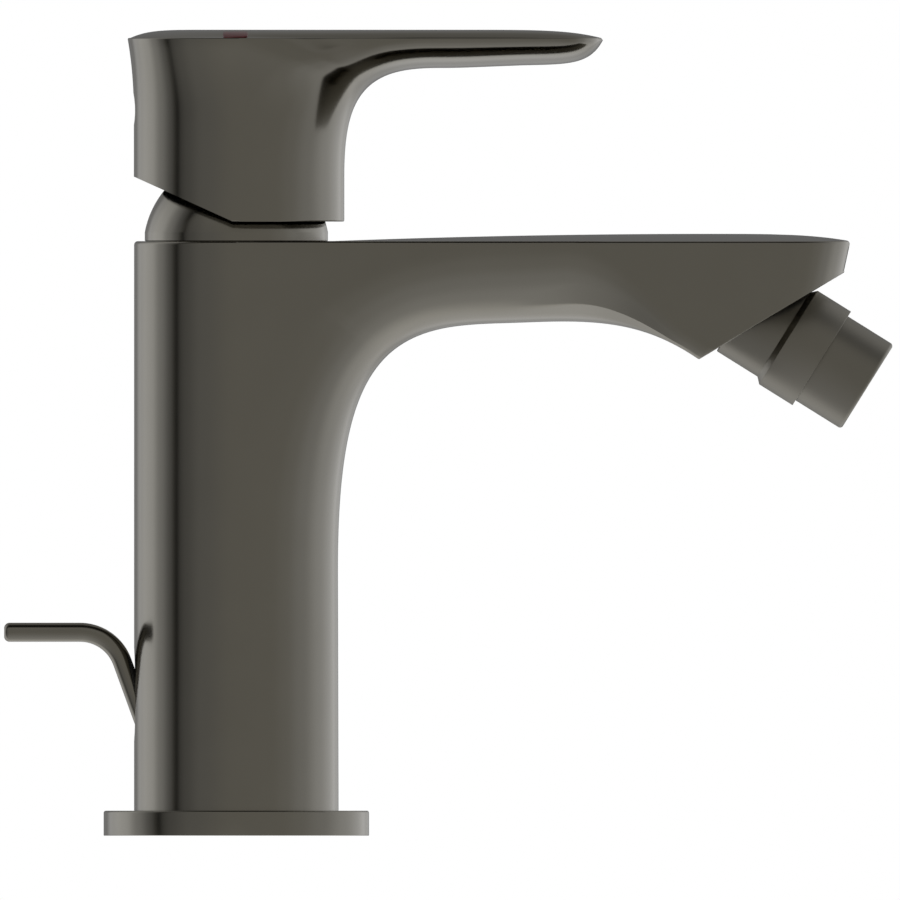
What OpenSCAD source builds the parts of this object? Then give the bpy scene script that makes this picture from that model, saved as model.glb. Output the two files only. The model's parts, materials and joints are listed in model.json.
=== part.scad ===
// Single-lever bidet mixer with a pop-up lift rod and a swivelling nozzle on a ball joint.
// Millimetres. Origin on the column's axis at the deck, +Z up, +X towards the spout's tip.

/* [Body column] */
// Diameter of the round column
body_d = 45; // [43.5:0.5:48]
// Height of the column's rim above the deck
body_h = 130.8; // [124:0.2:142]
// Rounding of the rim's edge
rim_round = 0.8; // [0.4:0.1:1.2]
// Diameter of the open well under the column
well_d = 36; // [34:0.5:37]
// Height of the hose and stud sockets above the deck
socket_h = 62; // [50:1:66]
// Thread diameter of the two hose sockets
hose_thread_d = 10; // [9:0.5:10]
// Depth of the hose sockets
hose_thread_len = 12; // [10:1:14]
// Thread diameter of the two fixing stud sockets
stud_thread_d = 6; // [5:0.5:6]
// Depth of the stud sockets
stud_thread_len = 14; // [10:1:16]
// Diameter of the drilled hot and cold passages
supply_bore_d = 6; // [5:0.2:6.4]
// Diameter of the mixed water passage in the column
mixed_bore_d = 6.6; // [5.6:0.2:7]

/* [Base ring] */
// Diameter of the base ring
base_d = 58.4; // [54:0.4:64]
// Height of the base ring
base_h = 5.5; // [4.5:0.5:7]
// Thickness of the ring's floor, on which the column stands
base_floor = 2; // [1.6:0.2:2.6]
// Rounding of the ring's upper edge
base_round = 0.5; // [0.3:0.1:1]
// Width of the deck gasket
gasket_w = 2.8; // [2:0.2:3.2]
// Thickness of the deck gasket
gasket_t = 1.2; // [0.8:0.1:1.3]

/* [Spout] */
// Distance from the column's axis to the spout's tip
spout_reach = 135.1; // [130:0.5:145]
// Depth of the spout from its rim to its underside at mid length
spout_depth = 18.25; // [17.5:0.25:22]
// Drop from the rim to where the spout's underside leaves the column
root_drop = 72; // [60:1:80]
// Distance from the column's axis to the nose, the spout's lowest corner
nose_x = 102; // [98:0.5:104]
// Drop from the rim to the nose
nose_drop = 26.2; // [25:0.2:28]
// Slope of the nozzle's face
face_angle = 30.9; // [29:0.1:33]
// Rounding of the spout's lower edges at mid length
edge_round = 16.7; // [12:0.1:18]
// Width of the rounding along the underside of the nose
nose_round = 2; // [1:0.1:6]
// Height of the rounding along the underside of the nose
nose_round_h = 6.3; // [4:0.1:9]
// Corner radius of the tip seen from above
tip_corner_r = 13; // [8:0.5:16]
// Rise of the crowned top above the rim
crown_h = 1.6; // [1:0.1:2.4]
// Width of the cast waterway in the spout
waterway_w = 29; // [20:1:30]
// Height of the cast waterway in the spout
waterway_h = 10; // [8:0.5:10.5]

/* [Swivel nozzle] */
// Diameter of the ball
ball_d = 15; // [14:0.2:15.6]
// Diameter of the waterway through the ball
ball_bore_d = 6; // [4:0.5:6.4]
// Depth of the ball's centre behind the nozzle's face
ball_inset = 1.46; // [1:0.1:2]
// Distance from the nose to the ball's foot point on the face
ball_along = 15.3; // [14.8:0.1:16]
// Tilt of the nozzle from the face's normal, as it stands at rest
nozzle_tilt = 27.1; // [24:0.1:27.2]
// Diameter of the round recess that the swivel shell moves in
recess_d = 27.4; // [27.2:0.2:28]
// Depth of the recess below the face
recess_depth = 10.5; // [10:0.1:11]
// Thread diameter of the ball nipple
nipple_thread_d = 12; // [11:0.5:12.5]
// Length of the nipple's thread
nipple_thread_len = 5; // [4:0.5:5.4]
// Diameter of the swivel shell's stem
stem_d = 21.8; // [21:0.2:22]
// Diameter of the swivel shell's collar
collar_d = 24.3; // [23.6:0.1:24.4]
// Distance from the ball's centre to the start of the collar's bevel
collar_start = 7.1; // [7:0.1:7.5]
// Distance from the ball's centre to the end of the collar
collar_end = 17; // [16:0.2:18]
// Distance from the ball's centre to the outlet's end
nozzle_len = 28.85; // [27:0.25:32]
// Diameter of the outlet ring
outlet_d = 21.8; // [21:0.2:22.6]
// Diameter of the aerator's bore in the outlet ring
aerator_d = 14.8; // [13.6:0.2:15]

/* [Lever] */
// Diameter of the lever's round skirt
skirt_d = 46.3; // [45.7:0.1:48]
// Distance of the skirt's axis in front of the column's axis
skirt_offset = 0.6; // [0:0.1:0.8]
// Gap between the column's rim and the skirt
skirt_gap = 4.3; // [3.8:0.1:5]
// Height of the lever's side edge above the rim
lever_edge_h = 44.7; // [43:0.1:48]
// Rise of the lever's crowned top above its side edge
lever_crown = 1.8; // [1:0.1:2.4]
// Outward flare of the lever's body at its top edge
lever_flare = 1.4; // [0.6:0.1:2]
// Angle of the relief cut under the lever's back, its lift angle
relief_angle = 24.4; // [24.2:0.1:26]
// Distance from the column's axis to the handle's tip
handle_reach = 80.65; // [76:0.5:95]
// Width of the handle
handle_w = 35.2; // [30:0.2:38]
// Depth of the handle from its side edge to its underside
handle_depth = 6.2; // [5.5:0.1:8]
// Length of the handle's rounded end
handle_end_l = 12.6; // [8:0.2:18]
// Height of the lever screw above the rim
lever_screw_h = 29.1; // [28:0.1:30]
// Thread diameter of the lever screw
lever_screw_d = 5; // [4:0.5:5]
// Diameter of the plug over the lever screw
plug_d = 7; // [6:0.2:7.6]

/* [Cap and cartridge] */
// Diameter of the domed cap's sphere
dome_d = 41; // [40.6:0.1:41.2]
// Wall of the domed cap
dome_wall = 1.4; // [1:0.1:1.6]
// Depth of the lever's tilt axis below the rim
pivot_drop = 1.8; // [1.5:0.1:2.2]
// Diameter of the ceramic disc cartridge
cartridge_d = 35; // [34.4:0.2:35.2]
// Depth of the cartridge chamber below the rim
chamber_depth = 29.8; // [29.4:0.2:31]
// Width across the flats of the square spindle
spindle_w = 8; // [7:0.2:8]
// Diameter of the spindle's pivot pin
pivot_pin_d = 4; // [3:0.2:4.4]
// Diameter of the moving ceramic disc
moving_disc_d = 22.8; // [22:0.2:23.2]
// Thickness of the fixed ceramic disc
fixed_disc_t = 4; // [3.6:0.1:4]
// Thickness of the moving ceramic disc
moving_disc_t = 3.5; // [3.2:0.1:3.5]

/* [Lift rod] */
// Diameter of the lift rod
rod_d = 4.2; // [4:0.1:5]
// Slope of the rod from the vertical where it enters the column
rod_angle = 20; // [16:1:24]
// Height at which the rod's axis enters the column
rod_entry_h = 31.1; // [28:0.1:34]
// Height of the rod's level handle end
rod_handle_h = 44.75; // [42:0.25:50]
// Radius of the rod's bend
rod_bend_r = 9.9; // [8:0.1:12]
// Distance from the column's axis to the rod's end
rod_reach = 51.1; // [48:0.5:60]
// Height of the rod's lower end above the deck
rod_foot_h = 4; // [3:0.5:6]
// Length of the thread at the rod's lower end
rod_thread_len = 7; // [5:0.5:8]

/* [Hidden] */
$fn = 96;

// Colours of the finishes
gunmetal = [0.33, 0.32, 0.30];
brass = [0.75, 0.62, 0.33];
steel = [0.65, 0.66, 0.68];
ceramic = [0.93, 0.92, 0.88];
black_rubber = [0.10, 0.10, 0.10];
white_plastic = [0.88, 0.88, 0.86];
grey_plastic = [0.45, 0.46, 0.48];

// Clearances and small amounts
run_gap = 0.06;      // between a pin or shaft and its bore
free_gap = 0.3;      // between parts that move freely past each other
seat_gap = 0.1;      // around a part that is pushed or screwed into its seat
past = 1;            // how far a cut runs past the face it opens
sliver = 0.05;       // half width of a shell's narrowest strip

// Body column
body_r = body_d / 2;
rim_z = body_h;
well_r = well_d / 2;
column_foot = base_floor;

// Cartridge stack, from the rim downwards: cap, nut, shoulder, turret, carrier and discs
cartridge_r = cartridge_d / 2;
chamber_r = cartridge_r + 0.2;
chamber_z = rim_z - chamber_depth;
pivot_z = rim_z - pivot_drop;
cap_skirt_l = 4.6;                            // length of the cap's skirt in the rim
nut_t = 5;
nut_slack = 0.3;
neck_h = 6;                                   // height of the housing's neck
shoulder_t = 1.7;
carrier_t = 6.5;
ball_over_disc = 4;                           // from the moving disc up to the spindle's ball
cap_seat_z = rim_z - cap_skirt_l;
shoulder_z = cap_seat_z + nut_slack - nut_t;  // where the nut presses on the housing
housing_top = shoulder_z + neck_h;
turret_z = shoulder_z - shoulder_t;
carrier_top = turret_z - free_gap;
carrier_z = carrier_top - carrier_t;
moving_disc_z = carrier_z - moving_disc_t;
fixed_disc_z = moving_disc_z - fixed_disc_t;
plate_t = fixed_disc_z - chamber_z;           // the base plate fills the rest of the chamber
turret_top = pivot_z + 5.5;
fixed_disc_r = cartridge_r - 2.7;
moving_disc_r = moving_disc_d / 2;
housing_bore_r = cartridge_r - 2.2;
housing_neck_r = cartridge_r - 3.5;
turret_neck_r = 11;
turret_flange_r = housing_bore_r - 2.3;
turret_flange_t = 3;
lever_lift = 24;                              // lift angle from closed to fully open
spindle_arm = pivot_z - carrier_z - ball_over_disc;
spindle_ball_r = 3;
disc_travel = spindle_arm * sin(lever_lift);
disc_x = 2.4 - disc_travel - 0.1;             // the moving disc's centre when closed
spindle_top = rim_z + lever_screw_h + 4;

// Ports through the fixed disc, base plate and chamber floor
inlet_at = [4.8, 8];
outlet_at = [-7, 0];
outlet_port_d = mixed_bore_d + 0.6;
seal_w = 1.6;
seal_t = 1.2;

// Nut, cap and its seat
nut_r = chamber_r + 0.55;
nut_gap = 0.1;
nut_hex_af = 30;
nut_hex_t = 2.8;
cap_seat_r = chamber_r + 2;
cap_skirt_r = cap_seat_r - seat_gap;
cap_skirt_wall = 2;
cap_foot_r = dome_d / 2 - 0.35;
cap_foot_h = 1.95;
dome_r = dome_d / 2;
dome_hole_r = 15.2;
oring_r = 0.5;
oring_z = rim_z - 2.6;

// Lever
skirt_r = skirt_d / 2;
skirt_z = rim_z + skirt_gap;
lever_edge_z = rim_z + lever_edge_h;
flare_h = 17.5;
cavity_r = dome_r + 0.5;
boss_r = 7.4;
boss_z = pivot_z + 13.5;
step_z = pivot_z + 21;
ceiling_z = lever_edge_z - 7.5;
screw_z = rim_z + lever_screw_h;
screw_boss_r = plug_d / 2 + 1.6;
back_x = skirt_offset - skirt_r;              // the skirt's rearmost line

// Nozzle
ball_r = ball_d / 2;
foot_point = [nose_x + ball_along * cos(face_angle),
              rim_z - nose_drop + 0.3 + ball_along * sin(face_angle)];
ball_c = [foot_point[0] - ball_inset * sin(face_angle), 0,
          foot_point[1] + ball_inset * cos(face_angle)];
recess_floor = recess_depth - ball_inset;     // behind the ball's centre
ball_gap = 0.05;
shell_back = 3.5;
shell_bore_r = ball_r + 1.5;
seat_z = 2.5;
stack_z = 7.1;                                // where the narrow end of the ball seat starts
washer_z = 12;
washer_t = 1.2;
screen_t = 1.2;
outlet_lip = 1;

// Lift rod: the sloping line and the level line meet at rod_corner
rod_r = rod_d / 2;
rod_entry = [-body_r, rod_entry_h];
rod_corner = [rod_entry[0] - (rod_handle_h - rod_entry_h) * tan(rod_angle), rod_handle_h];
rod_turn = 90 - rod_angle;
rod_setback = rod_bend_r * tan(rod_turn / 2);
guide_r = rod_r + 1.4;
guide_in = 21;                                // how far the guide's bore runs in and down
guide_out = 12;                               // how far it runs out and up
guide_flush = 0.2;                            // how far the guide's ends lie below the wall

// A cubic curve through p[0] and p[3], steered by p[1] and p[2]
function curve(p, t) =
    pow(1 - t, 3) * p[0] + 3 * pow(1 - t, 2) * t * p[1]
    + 3 * (1 - t) * t * t * p[2] + pow(t, 3) * p[3];

function mix(a, b, t) = a + (b - a) * t;

function ease(t) = let (u = min(1, max(0, t))) u * u * (3 - 2 * u);

// One closed ring of a shell. Its front half runs in the plane from an underside point to a
// top point, with rounded lower edges. Its rear runs along the top, or round the column's
// back where `back` is 1. `rise` lifts the crown of the top over the ring's edge.
function ring(low, high, width, round, depth, edge, inset, centre, back, square, rise, power) =
    let (len = norm(high - low), way = (high - low) / len, w = width - inset,
         deep = min(depth, len - edge - sliver),
         front = concat(
             [for (a = [0 : 9 : 90]) [deep * (1 - cos(a)), width - round + round * sin(a)]],
             [[len - edge, width], [len - 0.3 * edge, width - 0.3 * inset]]),
         at = [for (f = front) let (p = low + way * f[0]) [p[0], f[1], p[1]]],
         rear = [for (b = [0 : 10 : 180])
             let (far = pow(sin(b), 2 / square),
                  wide = (b > 90 ? -1 : 1) * pow(abs(cos(b)), 2 / square),
                  x = mix(high[0], centre - w * far, back),
                  q = pow(pow(max(0, centre - x) / w, square) + pow(abs(wide), square), 1 / square))
             [x, w * wide, high[1] + rise * (1 - pow(min(1, q), power))]],
         last = len(at) - 1)
    concat(at, rear, [for (i = [last : -1 : 0]) [at[i][0], -at[i][1], at[i][2]]]);

// A closed solid through rings that have equal numbers of points
module skin(rings) {
    n = len(rings[0]);
    m = len(rings);
    points = [for (r = rings) each r];
    sides = [for (i = [0 : m - 2], j = [0 : n - 1])
        let (a = i * n + j, b = i * n + (j + 1) % n) each [[a, b + n, b], [a, a + n, b + n]]];
    caps = [[for (j = [0 : n - 1]) j], [for (j = [n - 1 : -1 : 0]) (m - 1) * n + j]];
    polyhedron(points, concat(sides, caps), convexity = 6);
}

// The spout's underside: the root curve and then the front curve, as [x, z]
root_curve = [
    [body_r - 0.15, rim_z - root_drop],
    [body_r - 0.15, rim_z - root_drop + 45],
    [body_r + 10.1, rim_z - spout_depth + 0.25],
    [body_r + 35.5, rim_z - spout_depth]];
nose = [nose_x, rim_z - nose_drop];
front_curve = [
    root_curve[3],
    [nose_x - 22.9, rim_z - spout_depth + 1.4],
    [nose_x - 12.6, rim_z - spout_depth + 0.7],
    nose];

// The tip's front leans back as it goes down
tip_lean = 0.217;

// Half width of the spout at a distance from the tip's front, with rounded tip corners
function spout_plan(from_tip) =
    from_tip >= tip_corner_r ? flank
        : flank - tip_corner_r + sqrt(pow(tip_corner_r, 2) - pow(tip_corner_r - from_tip, 2));

function spout_crown(x) =
    let (peak = spout_reach - 31, start = cap_foot_r + 0.6)
    x < peak ? max(0, crown_h * (1 - pow((peak - x) / (peak - start), 2)))
             : max(0, crown_h * (1 - pow((x - peak) / (spout_reach - peak), 3.6)));

function spout_ring(low, high, round, depth, inset, back) =
    let (width = spout_plan(spout_reach - high[0]))
    ring(low, high, width, round, max(depth - sliver, sliver), rim_round, inset, 0, back, 2,
         spout_crown(high[0]), 2);

flank = body_r - 0.03;
leave_z = rim_z - root_drop;
root_end_x = root_curve[3][0];
tip_steps = 7;
nose_high_x = nose_x + 15.4;

// Rings of the column, as [share of the root curve, top point, inset, back]
column_steps = concat(
    [for (i = [0 : 8]) [i / 16, [0, mix(leave_z, rim_z - rim_round, i / 9)], 0, 1]],
    [[0.5425, [0, rim_z - rim_round], 0, 1],
     [0.5525, [0, rim_z - 0.3 * rim_round], 0.3 * rim_round, 1],
     [0.5625, [0, rim_z], rim_round, 1]],
    [for (k = [1 : 4]) [0.5625 + 0.01 * k, [0.75 * k, rim_z], rim_round, 1 - k / 4]],
    [for (j = [1 : 6]) [mix(0.6025, 1, j / 6), [mix(3, root_end_x, j / 6), rim_z], rim_round, 0]]);

spout_rings = concat(
    [for (s = column_steps)
        let (round = mix(flank - sliver, edge_round, ease(s[0])))
        spout_ring(curve(root_curve, s[0]), s[1], round, round, s[2], s[3])],
    [for (i = [1 : 9])
        let (low = curve(front_curve, i / 9),
             far = (low[0] - root_end_x) / (nose_x - root_end_x),
             sharpen = ease((i / 9 - 0.3) / 0.5))
        spout_ring(low, [low[0] + (nose_high_x - nose_x) * pow(far, 3), rim_z],
                   mix(edge_round, nose_round, sharpen), mix(edge_round, nose_round_h, sharpen),
                   rim_round, 0)],
    [for (i = [0 : tip_steps])
        let (high_x = spout_reach - tip_corner_r * (1 - sin(90 * i / tip_steps)),
             low_z = rim_z - nose_drop - 2)
        spout_ring([high_x - (rim_z - low_z) * tip_lean, low_z], [high_x, rim_z], 0.2, 0.2,
                   rim_round, 0)]);

// The round column, and the shell of its upper part and the spout
module body_outside() {
    translate([0, 0, column_foot]) cylinder(h = leave_z - column_foot, r = body_r);
    skin(spout_rings);
}

// Frames of the nozzle: Z runs out of the spout's face, or along the nozzle at rest
module on_face_axis() {
    translate(ball_c) rotate([0, 180 - face_angle, 0]) children();
}

module on_nozzle_axis() {
    translate(ball_c) rotate([0, 180 - face_angle - nozzle_tilt, 0]) children();
}

// Frame of the lift rod: Z runs up the sloping rod from where it enters the column
module on_rod_axis() {
    translate([rod_entry[0], 0, rod_entry[1]]) rotate([0, -rod_angle, 0]) children();
}

module drill(from, to, d) {
    way = to - from;
    translate(from) rotate([0, acos(way[2] / norm(way)), atan2(way[1], way[0])])
        cylinder(h = norm(way), d = d);
}

// Everything below and in front of the nozzle's face
module face_cut() {
    big = 80;
    on_face_axis() translate([-big, -big, ball_inset]) cube([2 * big, 2 * big, big]);
}

module body_casting() color(gunmetal) {
    gallery_z = chamber_z - 8;
    way_z = rim_z - 3.3 - waterway_h;
    riser_foot = [19.5, 0, gallery_z + 0.5];
    riser_head = [30, 0, way_z + 0.5];
    way_end = nose_x - 7;
    socket_floor = recess_floor + nipple_thread_len + 0.4;
    feed_from = [way_end - past, 0, way_z + waterway_h - 2.2];
    difference() {
        body_outside();
        face_cut();
        // Well for the hoses, studs and linkage
        translate([0, 0, -past]) cylinder(h = socket_h + past, r = well_r);
        // Cartridge chamber, nut thread and seat of the cap
        translate([0, 0, chamber_z]) cylinder(h = chamber_depth + past, r = chamber_r);
        translate([0, 0, shoulder_z - 2]) cylinder(h = chamber_depth, r = nut_r);
        translate([0, 0, cap_seat_z]) cylinder(h = chamber_depth, r = cap_seat_r);
        // Hose and stud sockets, and the supply passages up to the cartridge
        for (side = [-1, 1]) {
            translate([inlet_at[0], side * inlet_at[1], socket_h - past]) {
                cylinder(h = hose_thread_len + past, d = hose_thread_d);
                cylinder(h = chamber_z - socket_h + 2 * past, d = supply_bore_d);
            }
            translate([stud_at[0], side * stud_at[1], socket_h - past])
                cylinder(h = stud_thread_len + past, d = stud_thread_d);
        }
        // Mixed water: down from the cartridge, forward between the supplies, up to the spout
        translate([outlet_at[0], outlet_at[1], gallery_z - mixed_bore_d / 2])
            cylinder(h = chamber_z - gallery_z + mixed_bore_d / 2 + past, d = outlet_port_d);
        drill([outlet_at[0], 0, gallery_z], riser_foot + [1, 0, 0], mixed_bore_d);
        drill(riser_foot, riser_head, mixed_bore_d - 0.2);
        // Cast waterway of the spout and its feed to the ball nipple
        translate([body_r + 2.5, -waterway_w / 2, way_z])
            cube([way_end - body_r - 2.5, waterway_w, waterway_h]);
        translate(feed_from) rotate([0, 90, 0]) cylinder(h = ball_c[0] - 7 - feed_from[0], d = 4.4);
        // Recess of the ball joint and the nipple's thread
        on_face_axis() {
            translate([0, 0, -recess_floor]) cylinder(h = 30, d = recess_d);
            translate([0, 0, -socket_floor]) cylinder(h = 20, d = nipple_thread_d);
        }
        // Sloping bore for the lift rod's guide
        on_rod_axis() translate([0, 0, -guide_in - past])
            cylinder(h = guide_in + guide_out + 2 * past, r = guide_r);
    }
}

stud_at = [-7, 8.5];

module base_ring() color(gunmetal) rotate_extrude() {
    difference() {
        polygon([
            [well_r, 0], [base_d / 2, 0],
            for (a = [0 : 22.5 : 90])
                [base_d / 2 - base_round * (1 - cos(a)), base_h - base_round * (1 - sin(a))],
            [body_r + seat_gap, base_h], [body_r + seat_gap, base_floor], [well_r, base_floor]]);
        translate([gasket_r - gasket_w / 2 - seat_gap, -past])
            square([gasket_w + 2 * seat_gap, gasket_t + past]);
    }
}

gasket_r = (body_r + base_d / 2) / 2;

module deck_gasket() color(black_rubber) rotate_extrude()
    translate([gasket_r - gasket_w / 2, 0]) square([gasket_w, gasket_t]);

// Plastic bush in the column's wall, shaped to it inside and outside
module rod_guide() color(grey_plastic) difference() {
    intersection() {
        on_rod_axis() translate([0, 0, -guide_in])
            cylinder(h = guide_in + guide_out, r = guide_r - run_gap / 2);
        translate([0, 0, base_h]) cylinder(h = rod_handle_h, r = body_r - guide_flush);
    }
    cylinder(h = rod_handle_h + base_h, r = well_r + guide_flush);
    on_rod_axis() translate([0, 0, -guide_in - past])
        cylinder(h = guide_in + guide_out + 2 * past, r = rod_r + run_gap);
}

// Holes of the three ports: the two inlets and the outlet
module ports(z, h, inlet_d, outlet_d) {
    for (side = [-1, 1])
        translate([inlet_at[0], side * inlet_at[1], z]) cylinder(h = h, d = inlet_d);
    translate([outlet_at[0], outlet_at[1], z]) cylinder(h = h, d = outlet_d);
}

module cartridge_base() color(white_plastic) difference() {
    translate([0, 0, chamber_z]) cylinder(h = plate_t, r = cartridge_r);
    ports(chamber_z - past, plate_t + 2 * past, supply_bore_d, outlet_port_d);
    ports(chamber_z - past, past + seal_t, supply_bore_d + 2 * seal_w + seat_gap,
          outlet_port_d + 2 * seal_w + seat_gap);
}

module port_seals() color(black_rubber) difference() {
    ports(chamber_z, seal_t, supply_bore_d + 2 * seal_w, outlet_port_d + 2 * seal_w);
    ports(chamber_z - past, seal_t + 2 * past, supply_bore_d, outlet_port_d);
}

module fixed_disc() color(ceramic) difference() {
    translate([0, 0, fixed_disc_z]) cylinder(h = fixed_disc_t, r = fixed_disc_r);
    ports(fixed_disc_z - past, fixed_disc_t + 2 * past, supply_bore_d, outlet_port_d + 0.4);
}

// The moving disc's mixing chamber links the outlet to the inlets as the disc moves forward
module moving_disc() color(ceramic) difference() {
    translate([disc_x, 0, moving_disc_z]) cylinder(h = moving_disc_t, r = moving_disc_r);
    translate([disc_x - 2.3, 0, moving_disc_z - past]) cylinder(h = past + 2.2, r = 7);
    for (side = [-1, 1])
        translate([disc_x - 1.3, side * 4.6, moving_disc_z - past])
            cylinder(h = past + 2.2, r = 4.8);
}

module disc_carrier() color(white_plastic) difference() {
    translate([disc_x, 0, carrier_z]) cylinder(h = carrier_top - carrier_z, r = moving_disc_r);
    // Socket of the spindle's ball
    translate([0, 0, pivot_z - spindle_arm - spindle_ball_r - free_gap])
        cylinder(h = 20, r = spindle_ball_r + 0.2);
}

module cartridge_housing() color(white_plastic) rotate_extrude() polygon([
    [housing_bore_r, fixed_disc_z], [cartridge_r, fixed_disc_z], [cartridge_r, shoulder_z],
    [housing_neck_r, shoulder_z], [housing_neck_r, housing_top],
    [turret_neck_r + 0.15, housing_top],
    [turret_neck_r + 0.15, turret_z + turret_flange_t + free_gap],
    [turret_flange_r + 0.15, turret_z + turret_flange_t + free_gap],
    [turret_flange_r + 0.15, turret_z - free_gap], [housing_bore_r, turret_z - free_gap]]);

// Turns with the lever and carries the spindle on a cross pin
module turret() color(grey_plastic) {
    slot_w = spindle_w + 0.4;
    difference() {
        union() {
            translate([0, 0, turret_z]) cylinder(h = turret_flange_t, r = turret_flange_r);
            translate([0, 0, turret_z]) cylinder(h = turret_top - turret_z, r = turret_neck_r);
        }
        translate([-7.2, -slot_w / 2, turret_z - past])
            cube([14.4, slot_w, turret_top - turret_z + 2 * past]);
        translate([-8.2, -slot_w / 2, turret_z - past]) cube([16.4, slot_w, 4 + past]);
        translate([0, 0, pivot_z]) rotate([90, 0, 0])
            cylinder(h = 40, d = pivot_pin_d + 0.04, center = true);
    }
}

module pivot_pin() color(steel) translate([0, 0, pivot_z]) rotate([90, 0, 0])
    cylinder(h = 2 * turret_neck_r - 2.4, d = pivot_pin_d, center = true);

module spindle() color(steel) {
    ball_z = pivot_z - spindle_arm;
    difference() {
        union() {
            translate([0, 0, ball_z]) sphere(r = spindle_ball_r);
            translate([0, 0, ball_z]) cylinder(h = spindle_arm, r = 2);
            translate([0, 0, ball_z + 5]) cylinder(h = spindle_arm - 5, r = 2.9);
            translate([-spindle_w / 2, -spindle_w / 2, pivot_z - 5])
                cube([spindle_w, spindle_w, spindle_top - pivot_z + 5]);
        }
        translate([0, 0, pivot_z]) rotate([90, 0, 0])
            cylinder(h = 40, d = pivot_pin_d + 2 * run_gap, center = true);
    }
}

module retaining_nut() color(brass) difference() {
    union() {
        translate([0, 0, shoulder_z]) cylinder(h = nut_t - 0.4, r = nut_r - nut_gap);
        translate([0, 0, shoulder_z]) rotate([0, 0, 30])
            cylinder(h = nut_t + nut_hex_t, d = nut_hex_af / cos(30), $fn = 6);
    }
    translate([0, 0, shoulder_z - past])
        cylinder(h = nut_t + nut_hex_t + 2 * past, r = housing_neck_r + seat_gap);
}

// Domed cap: a plug skirt with an O-ring groove, a foot on the rim and a spherical dome
module domed_cap() color(gunmetal) difference() {
    union() {
        translate([0, 0, cap_seat_z + 0.4])
            cylinder(h = rim_z - cap_seat_z - 0.4, r = cap_skirt_r);
        translate([0, 0, rim_z]) cylinder(h = cap_foot_h, r = cap_foot_r);
        intersection() {
            translate([0, 0, pivot_z]) sphere(r = dome_r);
            translate([0, 0, rim_z + cap_foot_h / 2]) cylinder(h = 30, r = dome_r + 1);
        }
    }
    translate([0, 0, cap_seat_z]) cylinder(h = 2.6 + rim_z - cap_seat_z, r = cap_skirt_r - cap_skirt_wall);
    intersection() {
        translate([0, 0, pivot_z]) sphere(r = dome_r - dome_wall);
        translate([0, 0, rim_z + 2]) cylinder(h = 40, r = dome_r + 1);
    }
    translate([0, 0, rim_z]) cylinder(h = 40, r = dome_hole_r);
    rotate_extrude() translate([cap_skirt_r - 2 * oring_r - 0.02, oring_z - oring_r - seat_gap])
        square([3 * oring_r, 2 * (oring_r + seat_gap)]);
}

module cap_oring() color(black_rubber) rotate_extrude()
    translate([cap_skirt_r - oring_r + 0.02, oring_z]) circle(r = oring_r);

// Lever: half width at the side edge, from the round body to the handle's rounded end
function lever_plan(x) =
    let (tip = max(0, x - (handle_reach - 0.1 - handle_end_l)) / handle_end_l,
         side = mix(skirt_r, handle_w / 2, ease((x - skirt_offset - 7) / 33)))
    side * pow(max(0, 1 - pow(tip, 2.6)), 1 / 2.6);

// Outward flare of the body's wall near the top, fading along the handle
function flare(z) = lever_flare * pow(max(0, z - lever_edge_z + flare_h) / flare_h, 2.2);
function flare_fade(x) = 1 - ease((x - skirt_offset) / 30);

function lever_top_rise(x) =
    let (tip = max(0, x - (handle_reach - 34.4)) / 34) lever_crown * max(0, 1 - pow(tip, 5));

// The lever's front underside: skirt, throat, handle and tip, as [x, z]
skirt_front = skirt_offset + skirt_r;
throat_low = lever_edge_z - 30.4;
throat_curve = [
    [skirt_front, throat_low],
    [skirt_front, throat_low + 15.7],
    [skirt_front + 3.2, lever_edge_z - handle_depth + 0.2],
    [skirt_front + 21, lever_edge_z - handle_depth - 0.55]];
tip_curve = [
    [handle_reach - 18.2, lever_edge_z - handle_depth + 0.15],
    [handle_reach - 8, lever_edge_z - handle_depth + 0.45],
    [handle_reach - 3, lever_edge_z - handle_depth],
    [handle_reach, lever_edge_z - 0.5]];

function lever_ring(low, high, inset, back) =
    let (len = norm(high - low),
         width = lever_plan(high[0]) + flare(high[1]) * flare_fade(high[0]),
         square = 2 + 0.35 * ease((high[1] - lever_edge_z + flare_h) / flare_h))
    ring(low, high, width, width - sliver, max(min(skirt_r, len - 0.35), 0.5 * len),
         min(0.3, 0.25 * len), inset, skirt_offset, back, square, lever_top_rise(high[0]), 8);

corner_t = 0.4375;
lever_top_inset = 0.25;

// Rings of the lever's body, as [share of the throat curve, top point, inset, back]
lever_steps = concat(
    [for (i = [0 : 6])
        [i / 16, [skirt_offset, mix(throat_low, lever_edge_z - 0.4, i / 7)], 0, 1]],
    [[corner_t - 0.02, [skirt_offset, lever_edge_z - 0.4], 0, 1],
     [corner_t, [skirt_offset, lever_edge_z], lever_top_inset, 1]],
    [for (k = [1 : 14])
        let (back = [1, 0.94, 0.84, 0.66, 0.36, 0][min(k, 5)], far = k / 14)
        [mix(corner_t, 1, far), [mix(skirt_offset, throat_curve[3][0], sqrt(far)), lever_edge_z],
         lever_top_inset, back]]);

lever_rings = concat(
    [lever_ring([skirt_front, skirt_z], [skirt_offset, skirt_z], 0, 1)],
    [for (s = lever_steps) lever_ring(curve(throat_curve, s[0]), s[1], s[2], s[3])],
    [for (i = [1 : 2])
        let (low = mix(throat_curve[3], tip_curve[0], i / 3))
        lever_ring(low, [low[0], lever_edge_z], lever_top_inset, 0)],
    [for (i = [0 : 11])
        let (low = curve(tip_curve, i / 11))
        lever_ring(low, [low[0] - 0.4 * i / 11, lever_edge_z], lever_top_inset, 0)]);

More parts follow.
